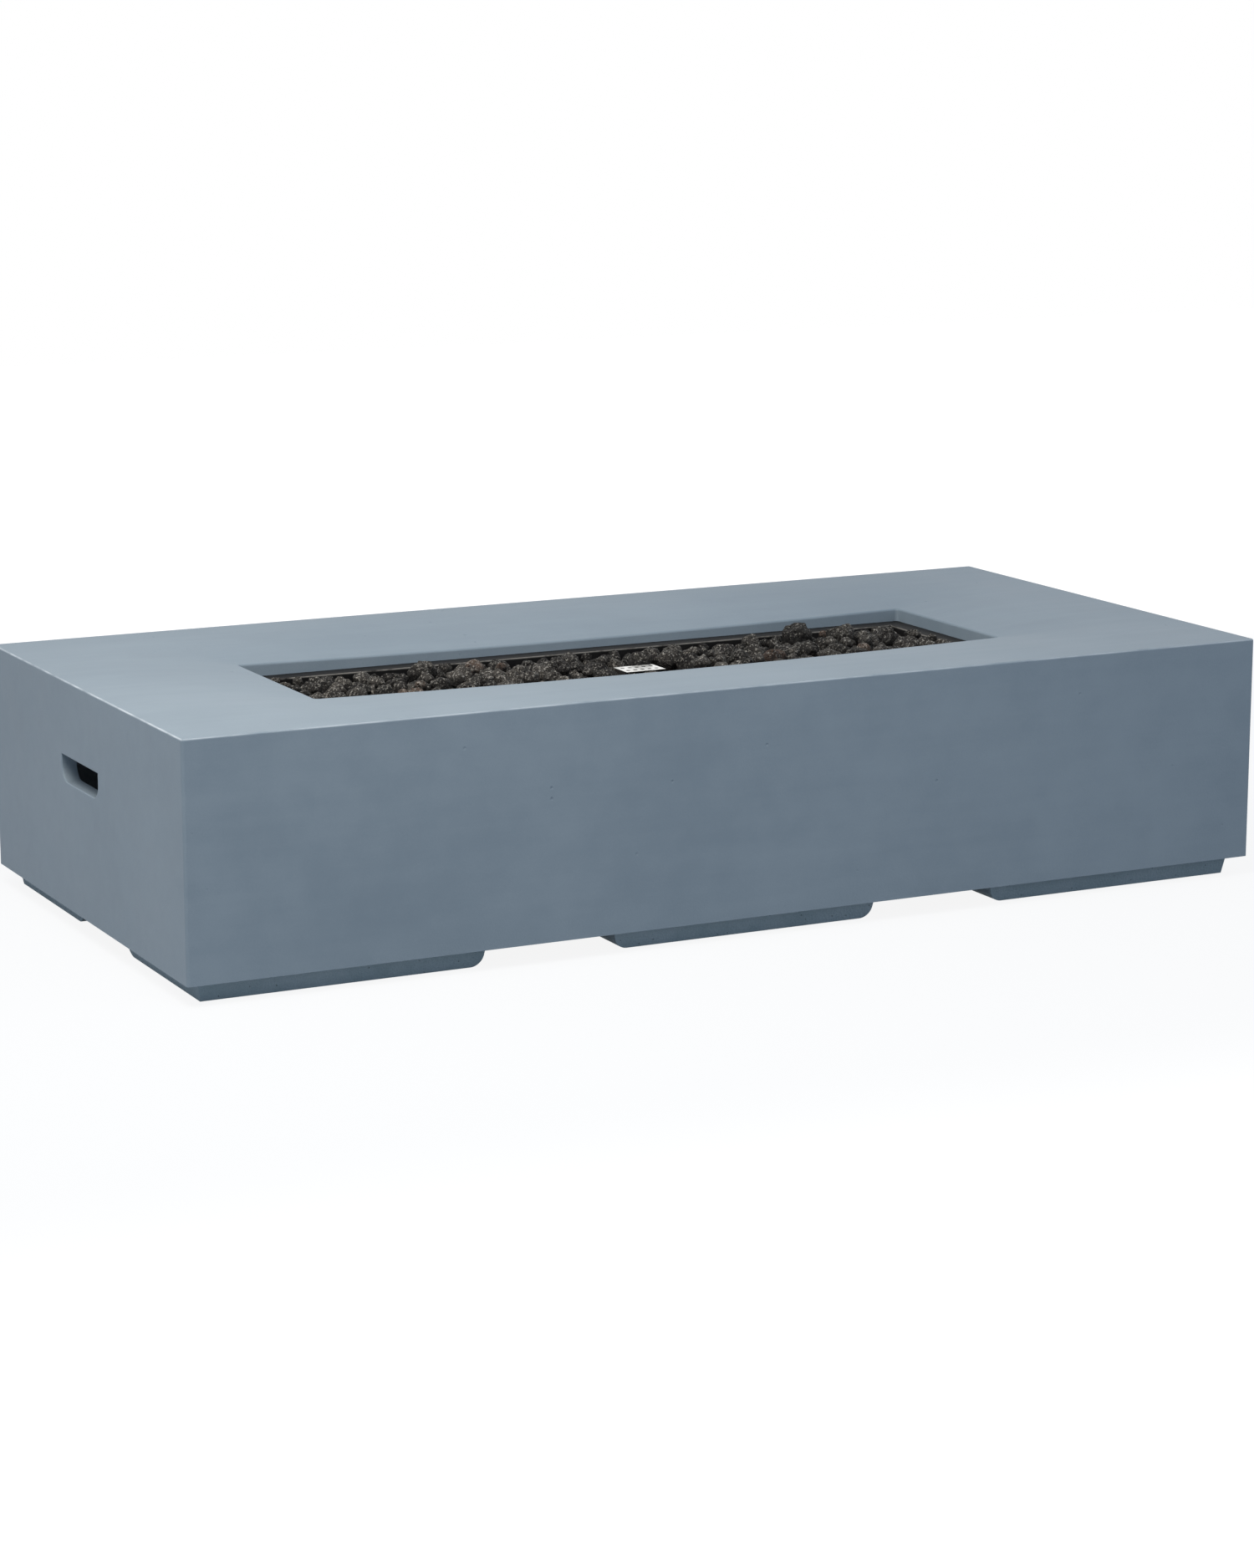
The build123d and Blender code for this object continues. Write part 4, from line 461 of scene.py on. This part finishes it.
@dataclass(frozen=True)
class BakedEnamel(Finish):
    """Black heat-proof coat with dust and a painted highlight along the inner edge of the flange."""

    coat: Colour
    dust: Colour
    lip_highlight: Colour
    mouth: Pair
    flange_z: float
    roughness: float = 0.5
    dust_rough: float = 0.2
    specular: float = 0.16
    grain_scale: float = 900.0
    grain_depth: float = 0.00008
    dust_scale: float = 24.0
    dust_range: Pair = (0.45, 0.8)
    dust_share: float = 0.35
    edge: float = 0.0008
    edge_core: float = 0.4
    edge_below: Pair = (0.003, 0.001)
    lip_highlight_range: Pair = (0.3, 0.55)

    def dress(self, recipe: Recipe) -> None:
        """Satin coat, grain, dust and the painted highlight line round the mouth.

        Args:
            recipe: Empty tree of the material.
        """
        place = recipe.place()
        x, y, z = recipe.axes(place)
        grain = recipe.noise(place, self.grain_scale, detail=2.0)
        dust = recipe.noise(place, self.dust_scale, detail=5.0, roughness=0.65)
        over_x = abs(x) - self.mouth[0]
        over_y = abs(y) - self.mouth[1]
        from_mouth = abs(over_x.larger(over_y))
        on_top = z.ramp(*(self.flange_z - depth for depth in self.edge_below))
        # Painted highlight: a light line along the flange's inner bend, broken up by the dust.
        line = (1.0 - from_mouth.ramp(self.edge * self.edge_core, self.edge)) * on_top
        colour = recipe.mix(dust.ramp(*self.dust_range) * self.dust_share, self.coat, self.dust)
        colour = recipe.mix(line * dust.ramp(*self.lip_highlight_range), colour, self.lip_highlight)
        recipe.surface({
            "Base Color": colour,
            "Roughness": self.roughness + dust * self.dust_rough,
            "Specular IOR Level": self.specular,
            "Normal": recipe.bump(grain, self.grain_depth),
        })


@dataclass(frozen=True)
class WorkedMetal(Finish):
    """Bare or plated metal with drawn lines and a little tarnish."""

    shade: Colour
    tarnish: Colour
    roughness: float = 0.3
    line_rough: float = 0.18
    stain_rough: float = 0.1
    lines: Triple = (2.0, 60.0, 60.0)
    line_scale: float = 40.0
    line_depth: float = 0.00004
    stain_scale: float = 55.0
    stain_range: Pair = (0.45, 0.75)
    tarnish_share: float = 0.35

    def dress(self, recipe: Recipe) -> None:
        """Metal whose roughness follows the drawn lines.

        Args:
            recipe: Empty tree of the material.
        """
        place = recipe.place()
        line = recipe.noise(recipe.stretch(place, self.lines), self.line_scale, detail=3.0)
        stain = recipe.noise(place, self.stain_scale, detail=4.0, roughness=0.6)
        stained = stain.ramp(*self.stain_range) * self.tarnish_share
        drawn = (line - NOISE_MIDDLE) * self.line_rough
        recipe.surface({
            "Base Color": recipe.mix(stained, self.shade, self.tarnish),
            "Metallic": 1.0,
            "Roughness": self.roughness + drawn + stain * self.stain_rough,
            "Normal": recipe.bump(line, self.line_depth),
        })


@dataclass(frozen=True)
class SootAndShadeSheet(Finish):
    """Bright sheet whose holes, edges and underside are blackened by the flame and darkened with painted
    shade.
    """

    shade: Colour
    tarnish: Colour
    soot_and_painted_shade: Colour
    top: float
    bright_depth: float = 0.0003
    bright_core: float = 0.3
    roughness: float = 0.4
    line_rough: float = 0.18
    soot_rough: float = 0.4
    lines: Triple = (2.0, 60.0, 60.0)
    line_scale: float = 40.0
    line_depth: float = 0.00004
    stain_scale: float = 120.0
    stain_range: Pair = (0.5, 0.8)
    stain_share: float = 0.35

    def dress(self, recipe: Recipe) -> None:
        """Bright top face, dark below it with flame-blackening and painted shade.

        Args:
            recipe: Empty tree of the material.
        """
        place = recipe.place()
        _, _, z = recipe.axes(place)
        line = recipe.noise(recipe.stretch(place, self.lines), self.line_scale, detail=3.0)
        stain = recipe.noise(place, self.stain_scale, detail=4.0, roughness=0.6)
        # Painted shade, partly flame-blackening: below the top face, the hole walls, edges and underside take
        # the dark colour.
        bright = z.ramp(self.top - self.bright_depth, self.top - self.bright_depth * self.bright_core)
        stained = stain.ramp(*self.stain_range) * self.stain_share
        sheet = recipe.mix(stained, self.shade, self.tarnish)
        drawn = (line - NOISE_MIDDLE) * self.line_rough
        recipe.surface({
            "Base Color": recipe.mix(bright, self.soot_and_painted_shade, sheet),
            "Metallic": bright,
            "Roughness": self.roughness + drawn + (1.0 - bright) * self.soot_rough,
            "Normal": recipe.bump(line, self.line_depth),
        })


@dataclass(frozen=True)
class Moulded(Finish):
    """Plastic, rubber, fired ceramic or enamel with a fine grain."""

    shade: Colour
    second: Colour
    roughness: float = 0.5
    cloud_rough: float = 0.12
    cloud_scale: float = 90.0
    cloud_range: Pair = (0.35, 0.75)
    cloud_share: float = 0.5
    grain: float = 1400.0
    grain_depth: float = 0.00005

    def dress(self, recipe: Recipe) -> None:
        """Nearly even colour with a fine grain.

        Args:
            recipe: Empty tree of the material.
        """
        place = recipe.place()
        grain = recipe.noise(place, self.grain, detail=2.0)
        cloud = recipe.noise(place, self.cloud_scale, detail=3.0)
        clouded = cloud.ramp(*self.cloud_range) * self.cloud_share
        recipe.surface({
            "Base Color": recipe.mix(clouded, self.shade, self.second),
            "Roughness": self.roughness + (cloud - NOISE_MIDDLE) * self.cloud_rough,
            "Normal": recipe.bump(grain, self.grain_depth),
        })


def paint(piece: bpy.types.Object, finish: Finish) -> None:
    """Make a finish the only one of a piece."""
    piece.data.materials.clear()
    piece.data.materials.append(finish.material())


def coat(nodes: Iterable[str], finish: Finish) -> list[bpy.types.Object]:
    """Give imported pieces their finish.

    Args:
        nodes: Names of the pieces.
        finish: Finish that they share.

    Returns:
        The pieces.
    """
    pieces = [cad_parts[name] for name in nodes]
    for piece in pieces:
        paint(piece, finish)
    return pieces


@dataclass
class TableBody:
    """Cast shell and its six feet."""

    shell: str = "table_shell"
    rows: tuple[str, ...] = ("front", "rear")
    places: tuple[str, ...] = ("left", "centre", "right")

    def build(self) -> list[bpy.types.Object]:
        """Dress the concrete.

        Returns:
            The dressed pieces.
        """
        high = tuple(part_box(self.shell)[1])
        shell_finish = CastConcrete(
            "cast_concrete",
            dark=srgb(128, 142, 153), light=srgb(141, 154, 164), wear_and_painted_light=srgb(212, 219, 224), high=high,
        )
        # Painted light: the feet are the shell's concrete, coloured lighter than the shell to brighten the
        # shade they stand in.
        foot_finish_painted_lighter = CastConcrete(
            "rough_concrete_painted_lighter",
            dark=srgb(138, 156, 164), light=srgb(160, 174, 182), wear_and_painted_light=srgb(170, 180, 185), high=high,
            roughness=0.74, cloud=9.0, mottle=48.0, sand=300.0, sand_depth=0.0006,
            hole_scale=150.0, hole_share=0.25, hole_depth=0.0016,
        )
        feet = [f"foot_{row}_{place}" for row in self.rows for place in self.places]
        return coat([self.shell], shell_finish) + coat(feet, foot_finish_painted_lighter)


@dataclass
class Burner:
    """Pan, burner loop, spark gear and the bright cover plate."""

    flange_width: float = 0.0265

    def build(self) -> list[bpy.types.Object]:
        """Dress what lies in the pan.

        Returns:
            The dressed pieces.
        """
        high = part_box("burner_pan")[1]
        enamel = BakedEnamel(
            "baked_enamel",
            coat=srgb(17, 17, 18), dust=srgb(44, 42, 40), lip_highlight=srgb(132, 129, 124),
            mouth=(high.x - self.flange_width, high.y - self.flange_width), flange_z=high.z,
        )
        bright = SootAndShadeSheet(
            "bright_sheet",
            shade=srgb(244, 244, 242), tarnish=srgb(206, 200, 190), soot_and_painted_shade=srgb(20, 18, 17),
            top=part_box("ignition_cover")[1].z,
        )
        stainless = WorkedMetal(
            "heated_stainless", srgb(112, 104, 96), srgb(64, 52, 44), roughness=0.42, tarnish_share=0.8,
        )
        fired = Moulded("fired_ceramic", srgb(226, 221, 206), srgb(204, 196, 178), roughness=0.35)
        drawn = WorkedMetal(
            "drawn_steel", srgb(150, 150, 150), srgb(96, 86, 78), roughness=0.3, lines=(60.0, 60.0, 2.0),
        )
        groups = (
            (("burner_pan",), enamel),
            (("ignition_cover",), bright),
            (("burner_tube", "burner_clips", "ignition_bracket"), stainless),
            (("electrode_insulator",), fired),
            (("electrode_rod", "thermocouple_probe"), drawn),
        )
        return [piece for nodes, finish in groups for piece in coat(nodes, finish)]


@dataclass(frozen=True)
class Spring:
    """A compression spring, the joint that presses it and how far."""

    node: str
    joint: Joint
    travel: float


@dataclass
class Hardware:
    """Gas train, control tray, valve, knob, igniter and fasteners."""

    plated: tuple[str, ...] = (
        "foot_bolts", "burner_screws", "cover_screws", "cover_nuts", "tray_screws", "valve_screws",
        "bracket_screws", "knob_set_screw", "igniter_nut", "lead_clip", "inlet_bracket", "air_mixer",
    )
    brass: tuple[str, ...] = (
        "foot_inserts", "screw_anchors", "pan_locknut", "gas_jet", "supply_nuts", "valve_body",
        "valve_stem", "inlet_fitting", "inlet_locknut", "inlet_nuts",
    )
    springs: tuple[Spring, ...] = (
        Spring("return_spring", Joint.KNOB_PUSH, travel=0.006),
        Spring("igniter_spring", Joint.IGNITER_PRESS, travel=0.004),
    )
    spring_name: str = "{}_coil"
    spring_slot: str = "spring_steel"
    spring_fit: float = 0.00005

    def build(self) -> list[bpy.types.Object]:
        """Dress the metal, plastic and rubber pieces.

        Returns:
            The dressed pieces.
        """
        spring_steel = WorkedMetal(
            "spring_steel", srgb(150, 152, 154), srgb(110, 112, 116),
            roughness=0.28, lines=(30.0, 30.0, 30.0),
        )
        groups = self._metals() + self._moulded() + ((("safety_push_rod",), spring_steel),)
        pieces = [piece for nodes, finish in groups for piece in coat(nodes, finish)]
        return pieces + [self._coil(spring, spring_steel) for spring in self.springs]

    def _metals(self) -> tuple[tuple[tuple[str, ...], Finish], ...]:
        """Sort the metal pieces.

        Returns:
            Names of the pieces that share a finish, with that finish.
        """
        zinc = WorkedMetal(
            "plated_zinc", srgb(176, 180, 184), srgb(140, 146, 152), roughness=0.34, lines=(20.0, 20.0, 20.0),
        )
        brass = WorkedMetal(
            "turned_brass", srgb(206, 170, 98), srgb(150, 112, 58), roughness=0.3, lines=(40.0, 40.0, 40.0),
        )
        brushed = WorkedMetal("brushed_stainless", srgb(190, 190, 188), srgb(164, 164, 162), roughness=0.3)
        tube = WorkedMetal(
            "bent_aluminium", srgb(204, 206, 208), srgb(176, 178, 180),
            roughness=0.38, lines=(40.0, 2.0, 40.0),
        )
        copper = WorkedMetal(
            "copper_lead", srgb(196, 122, 84), srgb(132, 82, 58), roughness=0.32, lines=(40.0, 2.0, 40.0),
        )
        return (
            (self.plated, zinc),
            (self.brass, brass),
            (("control_tray", "dial_bezel", "igniter_housing"), brushed),
            (("supply_tube", "inlet_tube"), tube),
            (("thermocouple_lead",), copper),
        )

    @staticmethod
    def _moulded() -> tuple[tuple[tuple[str, ...], Finish], ...]:
        """Sort the plastic, rubber and enamelled pieces.

        Returns:
            Names of the pieces that share a finish, with that finish.
        """
        grip = Moulded("grip_plastic", srgb(26, 26, 27), srgb(38, 38, 39), roughness=0.52)
        gloss = Moulded(
            "button_plastic", srgb(24, 24, 25), srgb(34, 34, 36), roughness=0.3, grain_depth=0.00002,
        )
        rubber = Moulded("silicone_rubber", srgb(42, 40, 39), srgb(58, 54, 52), roughness=0.62)
        white = Moulded(
            "white_enamel", srgb(232, 232, 228), srgb(216, 215, 208), roughness=0.42, grain_depth=0.00002,
        )
        sleeve = Moulded("battery_sleeve", srgb(70, 76, 82), srgb(92, 98, 102), roughness=0.36)
        return (
            (("control_knob", "igniter_end_cap"), grip),
            (("igniter_button",), gloss),
            (("ignition_lead", "electrode_boot"), rubber),
            (("knob_pointer", "dial_marks"), white),
            (("igniter_battery",), sleeve),
        )

    def _coil(self, spring: Spring, finish: Finish) -> bpy.types.Object:
        """Stand in for a packed spring with a copy of its coil that rides on the table.

        Args:
            spring: The spring, its joint and the joint's travel.
            finish: Finish of its wire.

        Returns:
            The coil.
        """
        low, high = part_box(spring.node)
        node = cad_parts[spring.node]
        piece = new_object(self.spring_name.format(spring.node), node.data.copy())
        piece.matrix_world = node.matrix_world
        paint(piece, finish)
        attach(piece, Body.TABLE.value)
        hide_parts(spring.node)
        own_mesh(piece)
        return piece


@dataclass
class Block:
    """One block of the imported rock: its middle, its faces and its highest level."""

    middle: np.ndarray
    normals: np.ndarray
    reaches: np.ndarray
    top: float


@dataclass
class LavaBed:
    """Loose lava rock: every packed block becomes a weathered, pitted lump of about its size."""

    zones: tuple[str, ...] = ("far_left", "left", "middle", "right", "far_right")
    node_name: str = "lava_rocks_{}"
    piece_name: str = "lava_bed_{}"
    slot: str = "lava"
    place_digits: int = 6
    face_digits: int = 4
    fine_level: int = 5
    plain_level: int = 4
    bed_level: float = 0.288
    fine_reach: float = 0.0125
    top_limit: float = 0.3235
    fullness: float = 1.13
    sharpness: float = 24.0
    pattern_room: float = 9.0
    lump_scale: float = 62.0
    lump_smoothness: float = 0.9
    lump_step: float = 2.0
    lump_octaves: int = 3
    lump_share: float = 0.2
    wear_middle: float = 0.5
    wear_gain: float = 0.6
    hollow_painted_shade: float = 0.3
    pit_scale: float = 150.0
    pit_reach: float = 0.6
    pit_power: float = 1.5
    pit_middle: float = 0.5
    pit_gain: float = 1.4
    pit_least: float = 0.1
    pit_depth: float = 0.0026
    grit_scale: float = 380.0
    grit_depth: float = 0.0009
    soot_and_painted_shade_level: float = 0.72
    soot_and_painted_shade_share: float = 1.0
    rusty_place: Pair = (-0.295, -0.085)
    rusty_share: float = 0.025
    rusty_tone: float = 0.5
    seed: int = 4
    balls: dict[int, tuple[np.ndarray, np.ndarray]] = field(default_factory=dict)

    def build(self) -> list[bpy.types.Object]:
        """Make one mesh for each zone.

        Returns:
            The five pieces.
        """
        finish = LavaStone("lava_stone")
        rng = random.Random(self.seed)
        nodes = {zone: self.node_name.format(zone) for zone in self.zones}
        blocks = {zone: self._blocks(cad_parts[nodes[zone]]) for zone in self.zones}
        every = [block for zone in self.zones for block in blocks[zone]]
        exposed = [block for block in every if block.top > self.bed_level]
        rusty = min(exposed, key=lambda block: math.dist(block.middle[:2], self.rusty_place))
        pieces = []
        for zone in self.zones:
            piece = self._zone(self.piece_name.format(zone), blocks[zone], rusty, rng)
            paint(piece, finish)
            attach(piece, Body.TABLE.value)
            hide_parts(nodes[zone])
            pieces.append(piece)
        return pieces

    def _blocks(self, node: bpy.types.Object) -> list[Block]:
        """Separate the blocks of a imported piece.

        Args:
            node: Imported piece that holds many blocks.

        Returns:
            The blocks.
        """
        mesh = node.data
        mesh.calc_loop_triangles()
        corners = np.zeros(len(mesh.vertices) * 3)
        mesh.vertices.foreach_get("co", corners)
        triangles = np.zeros(len(mesh.loop_triangles) * 3, int)
        mesh.loop_triangles.foreach_get("vertices", triangles)
        rounded = np.round(corners.reshape(-1, 3), self.place_digits)
        places, joined = np.unique(rounded, axis=0, return_inverse=True)
        triangles = joined.reshape(-1)[triangles].reshape(-1, 3)
        owner = self._owners(len(places), triangles)
        return [
            self._block(places[owner == label], places[triangles[owner[triangles[:, 0]] == label]])
            for label in np.unique(owner)
        ]

    @staticmethod
    def _owners(count: int, triangles: np.ndarray) -> np.ndarray:
        """Label points that triangles join.

        Args:
            count: Number of points.
            triangles: Three point numbers in each row.

        Returns:
            For each point, one number that its block shares.
        """
        owner = np.arange(count)
        while True:
            least = owner[triangles].min(axis=1)
            before = owner.copy()
            for column in triangles.T:
                np.minimum.at(owner, column, least)
            owner = owner[owner]
            if (owner == before).all():
                return owner

    def _block(self, points: np.ndarray, corners: np.ndarray) -> Block:
        """Measure one block.

        Args:
            points: Its points.
            corners: The three corners of each of its triangles.

        Returns:
            The block.
        """
        middle = (points.min(axis=0) + points.max(axis=0)) / 2
        a, b, c = (corners[:, k] - middle for k in range(3))
        normals = np.cross(b - a, c - a)
        normals /= np.linalg.norm(normals, axis=1, keepdims=True)
        planes = np.c_[normals, (normals * a).sum(axis=1)]
        faces = np.unique(np.round(planes, self.face_digits), axis=0)
        return Block(middle, faces[:, :3], faces[:, 3], points[:, 2].max())

    def _ball(self, level: int) -> tuple[np.ndarray, np.ndarray]:
        """Even ball, made on first use.

        Args:
            level: How often its triangles are divided.

        Returns:
            Directions and triangles.
        """
        if level not in self.balls:
            ball = bmesh.new()
            bmesh.ops.create_icosphere(ball, subdivisions=level, radius=1.0)
            points = np.array([v.co for v in ball.verts])
            faces = np.array([[v.index for v in f.verts] for f in ball.faces])
            ball.free()
            self.balls[level] = (points, faces)
        return self.balls[level]

    def _patterns(
        self, surface: np.ndarray, rng: random.Random,
    ) -> tuple[np.ndarray, np.ndarray, np.ndarray]:
        """Lay noise over a lump.

        Args:
            surface: Points of the unworn lump round its middle.
            rng: Source of the lump's own place in the noise.

        Returns:
            At each point the broad swell, the distance to the nearest pit and the grit.
        """
        room = self.pattern_room
        shift = Vector([rng.uniform(-room, room) for _ in range(3)])
        swell, to_pit, grit = np.zeros((3, len(surface)))
        for index, row in enumerate(surface):
            point = Vector(row)
            swell[index] = noise.fractal(
                point * self.lump_scale + shift, self.lump_smoothness, self.lump_step, self.lump_octaves,
            )
            to_pit[index] = noise.voronoi(point * self.pit_scale + shift)[0][0]
            grit[index] = noise.noise(point * self.grit_scale + shift)
        return swell, to_pit, grit

    def _lump(self, block: Block, rng: random.Random) -> tuple[np.ndarray, np.ndarray, np.ndarray]:
        """Wear one block down to a pitted lump.

        Args:
            block: Block that gives the lump its place and its size.
            rng: Source of the lump's own pattern.

        Returns:
            Points, triangles and how dark pits, painted shade in the hollows, and flame-blackening with
            painted shade on the lower sides make each point, from 0 to 1.
        """
        fine = block.top > self.bed_level and block.reaches.mean() > self.fine_reach
        directions, faces = self._ball(self.fine_level if fine else self.plain_level)
        facing = np.clip(directions @ block.normals.T, 0.0, None) / block.reaches
        reach = (facing ** self.sharpness).sum(axis=1) ** (-1 / self.sharpness)
        swell, to_pit, grit = self._patterns(directions * reach[:, None], rng)
        wear_and_painted_light = np.clip(self.wear_middle - self.wear_gain * swell, 0.0, 1.0)
        pit = np.clip(1.0 - to_pit / self.pit_reach, 0.0, 1.0) ** self.pit_power
        pit = pit * np.clip(self.pit_middle + self.pit_gain * swell, self.pit_least, 1.0)
        size = reach * self.fullness * (1.0 - self.lump_share * wear_and_painted_light)
        size -= self.pit_depth * pit + self.grit_depth * (0.5 + 0.5 * grit)
        points = block.middle + directions * size[:, None]
        points[:, 2] = np.minimum(points[:, 2], self.top_limit)
        # Painted shade, partly flame-blackening: the sides and lower parts of each lump are darkened and the
        # tops left light.
        soot_and_painted_shade_below = np.clip(self.soot_and_painted_shade_level - directions[:, 2], 0.0, 1.0)
        # Painted shade: the hollows of each lump, where the swell is low, are darkened.
        dark = np.clip(pit + self.hollow_painted_shade * wear_and_painted_light + self.soot_and_painted_shade_share * soot_and_painted_shade_below, 0.0, 1.0)
        return points, faces, dark

    def _zone(self, name: str, blocks: list[Block], rusty: Block, rng: random.Random) -> bpy.types.Object:
        """Join the lumps of one zone in a mesh.

        Args:
            name: Name of the piece.
            blocks: Blocks of the zone.
            rusty: The block that is mostly rust.
            rng: Source of tones and patterns.

        Returns:
            The piece.
        """
        points, faces, pits, tones, rusts = [], [], [], [], []
        count = 0
        for block in blocks:
            lump, own_faces, pit = self._lump(block, rng)
            tone = rng.random()
            rust = 1.0 if block is rusty else self.rusty_tone * (rng.random() < self.rusty_share)
            points.append(lump)
            faces.append(own_faces + count)
            pits.append(pit)
            tones.append(np.full(len(lump), tone))
            rusts.append(np.full(len(lump), rust))
            count += len(lump)
        mesh = bpy.data.meshes.new(name)
        mesh.from_pydata(np.concatenate(points).tolist(), [], np.concatenate(faces).tolist())
        for key, values in (("pit", pits), ("tone", tones), ("rust", rusts)):
            layer = mesh.attributes.new(key, "FLOAT", "POINT")
            layer.data.foreach_set("value", np.concatenate(values).astype(np.float32))
        mesh.shade_smooth()
        return new_object(name, mesh)


@dataclass(frozen=True)
class Lamp:
    """A soft box: its place, its width and height, its power and the colour of its light."""

    name: str
    place: Triple
    size: Pair
    watts: float
    colour: Triple


@dataclass
class Studio:
    """Floor, light and the camera at the photograph's place."""

    image_height: int = 1876
    focal_pixels: float = 4526.0
    camera_place: Triple = (-2.2384, -4.4368, 1.1884)
    camera_down: float = 12.024
    camera_turn: float = 26.786
    camera_reach: float = 100.0
    sensor: float = 36.0
    floor_size: float = 14.0
    floor_gap: float = 0.0005
    floor_white: float = 0.8
    floor_shade: Colour = (0.38, 0.41, 0.45, 1.0)
    floor_glow: float = 1.12
    shadow_reach: Pair = (0.9, 1.7)
    shadow_squeeze: float = 0.6
    dark_half: Pair = (0.6, 0.18)
    dark_fade: Pair = (0.85, 1.0)
    sky: Colour = (0.77, 0.91, 1.09, 1.0)
    sky_strength: float = 0.43
    lamps: tuple[Lamp, ...] = (
        Lamp("key_light", (-1.12, -0.78, 2.0), (1.5, 1.1), watts=39.0, colour=(1.0, 0.945, 0.865)),
        Lamp("fill_light", (2.6, -3.4, 2.0), (2.4, 2.0), watts=12.0, colour=(0.86, 0.95, 1.08)),
    )

    def build(self) -> None:
        """Make the stage."""
        self._sky()
        self._floor()
        for lamp in self.lamps:
            self._lamp(lamp)
        self._camera()

    @staticmethod
    def _seen(recipe: Recipe) -> Wire:
        """Tell rays that show the background as it is: camera, glossy and transmitted.

        Args:
            recipe: Tree of the floor or the sky.

        Returns:
            1 for those rays, 0 for the others.
        """
        camera = recipe.node("ShaderNodeLightPath", output="Is Camera Ray")
        outputs = camera.socket.node.outputs
        glossy = Wire(recipe, outputs["Is Glossy Ray"])
        clear = Wire(recipe, outputs["Is Transmission Ray"])
        return camera.larger(glossy).larger(clear)

    def _sky(self) -> None:
        """Even sky light that the camera sees as white."""
        world = bpy.data.worlds.new("studio")
        bpy.context.scene.world = world
        world.use_nodes = True
        recipe = Recipe(world.node_tree)
        sky = {"Color": self.sky, "Strength": self.sky_strength}
        light = recipe.node("ShaderNodeBackground", sockets=sky)
        white = recipe.node("ShaderNodeBackground", sockets={"Color": WHITE, "Strength": 1.0})
        both = recipe.node("ShaderNodeMixShader", sockets={0: self._seen(recipe), 1: light, 2: white})
        recipe.node("ShaderNodeOutputWorld", sockets={"Surface": both})

    def _floor(self) -> None:
        """Plain white floor that keeps a soft shadow."""
        half = self.floor_size / 2
        corners = [(-half, -half, 0), (half, -half, 0), (half, half, 0), (-half, half, 0)]
        mesh = bpy.data.meshes.new("floor")
        mesh.from_pydata(corners, [], [(0, 1, 2, 3)])
        floor = new_object("floor", mesh)
        floor.location.z = -self.floor_gap
        material = bpy.data.materials.new("floor_white")
        material.use_nodes = True
        self._floor_paint(Recipe(material.node_tree))
        mesh.materials.append(material)

    def _floor_paint(self, recipe: Recipe) -> None:
        """Fade the shadow out with distance, and leave the floor under the pan dark.

        Args:
            recipe: Empty tree of the floor's material.
        """
        x, y, _ = recipe.axes(recipe.place())
        far = (abs(x) * self.shadow_squeeze).larger(abs(y)).ramp(*self.shadow_reach)
        dark_x, dark_y = self.dark_half
        outside = (abs(x) * (1.0 / dark_x)).larger(abs(y) * (1.0 / dark_y)).ramp(*self.dark_fade)
        share = self._seen(recipe) * outside * (self.floor_white + far * (1.0 - self.floor_white))
        shade = recipe.node("ShaderNodeBsdfDiffuse", sockets={"Color": self.floor_shade})
        glow = {"Color": WHITE, "Strength": self.floor_glow}
        white = recipe.node("ShaderNodeEmission", sockets=glow)
        both = recipe.node("ShaderNodeMixShader", sockets={0: share, 1: shade, 2: white})
        recipe.node("ShaderNodeOutputMaterial", sockets={"Surface": both})

    @staticmethod
    def _lamp(lamp: Lamp) -> None:
        """Add a soft box that points at the table.

        Args:
            lamp: The soft box.
        """
        light = bpy.data.lights.new(lamp.name, "AREA")
        light.shape = "RECTANGLE"
        light.size, light.size_y = lamp.size
        light.energy = lamp.watts
        light.color = lamp.colour
        holder = new_object(lamp.name, light)
        holder.location = lamp.place
        holder.rotation_euler = (-Vector(lamp.place)).to_track_quat("-Z", "Y").to_euler()

    def _camera(self) -> None:
        """Camera that sees the table as the photograph does."""
        camera = bpy.data.cameras.new("camera")
        camera.sensor_fit = "VERTICAL"
        camera.sensor_height = self.sensor
        camera.lens = self.focal_pixels / self.image_height * self.sensor
        camera.clip_end = self.camera_reach
        holder = new_object("camera", camera)
        holder.location = self.camera_place
        tilt, turn = math.radians(90.0 - self.camera_down), math.radians(-self.camera_turn)
        holder.rotation_euler = (tilt, 0.0, turn)
        bpy.context.scene.camera = holder


def main() -> None:
    """Build and dress the table, then the stage."""
    logging.basicConfig(level=logging.INFO, format="%(name)s: %(message)s")
    bpy.context.scene.view_settings.view_transform = "Standard"
    for assembly in (TableBody(), Burner(), Hardware(), LavaBed()):
        for piece in assembly.build():
            faces = len(piece.data.polygons)
            LOG.info("%s: %s, %d faces", type(assembly).__name__, piece.name, faces)
    Studio().build()


if __name__ == "__main__":
    main()
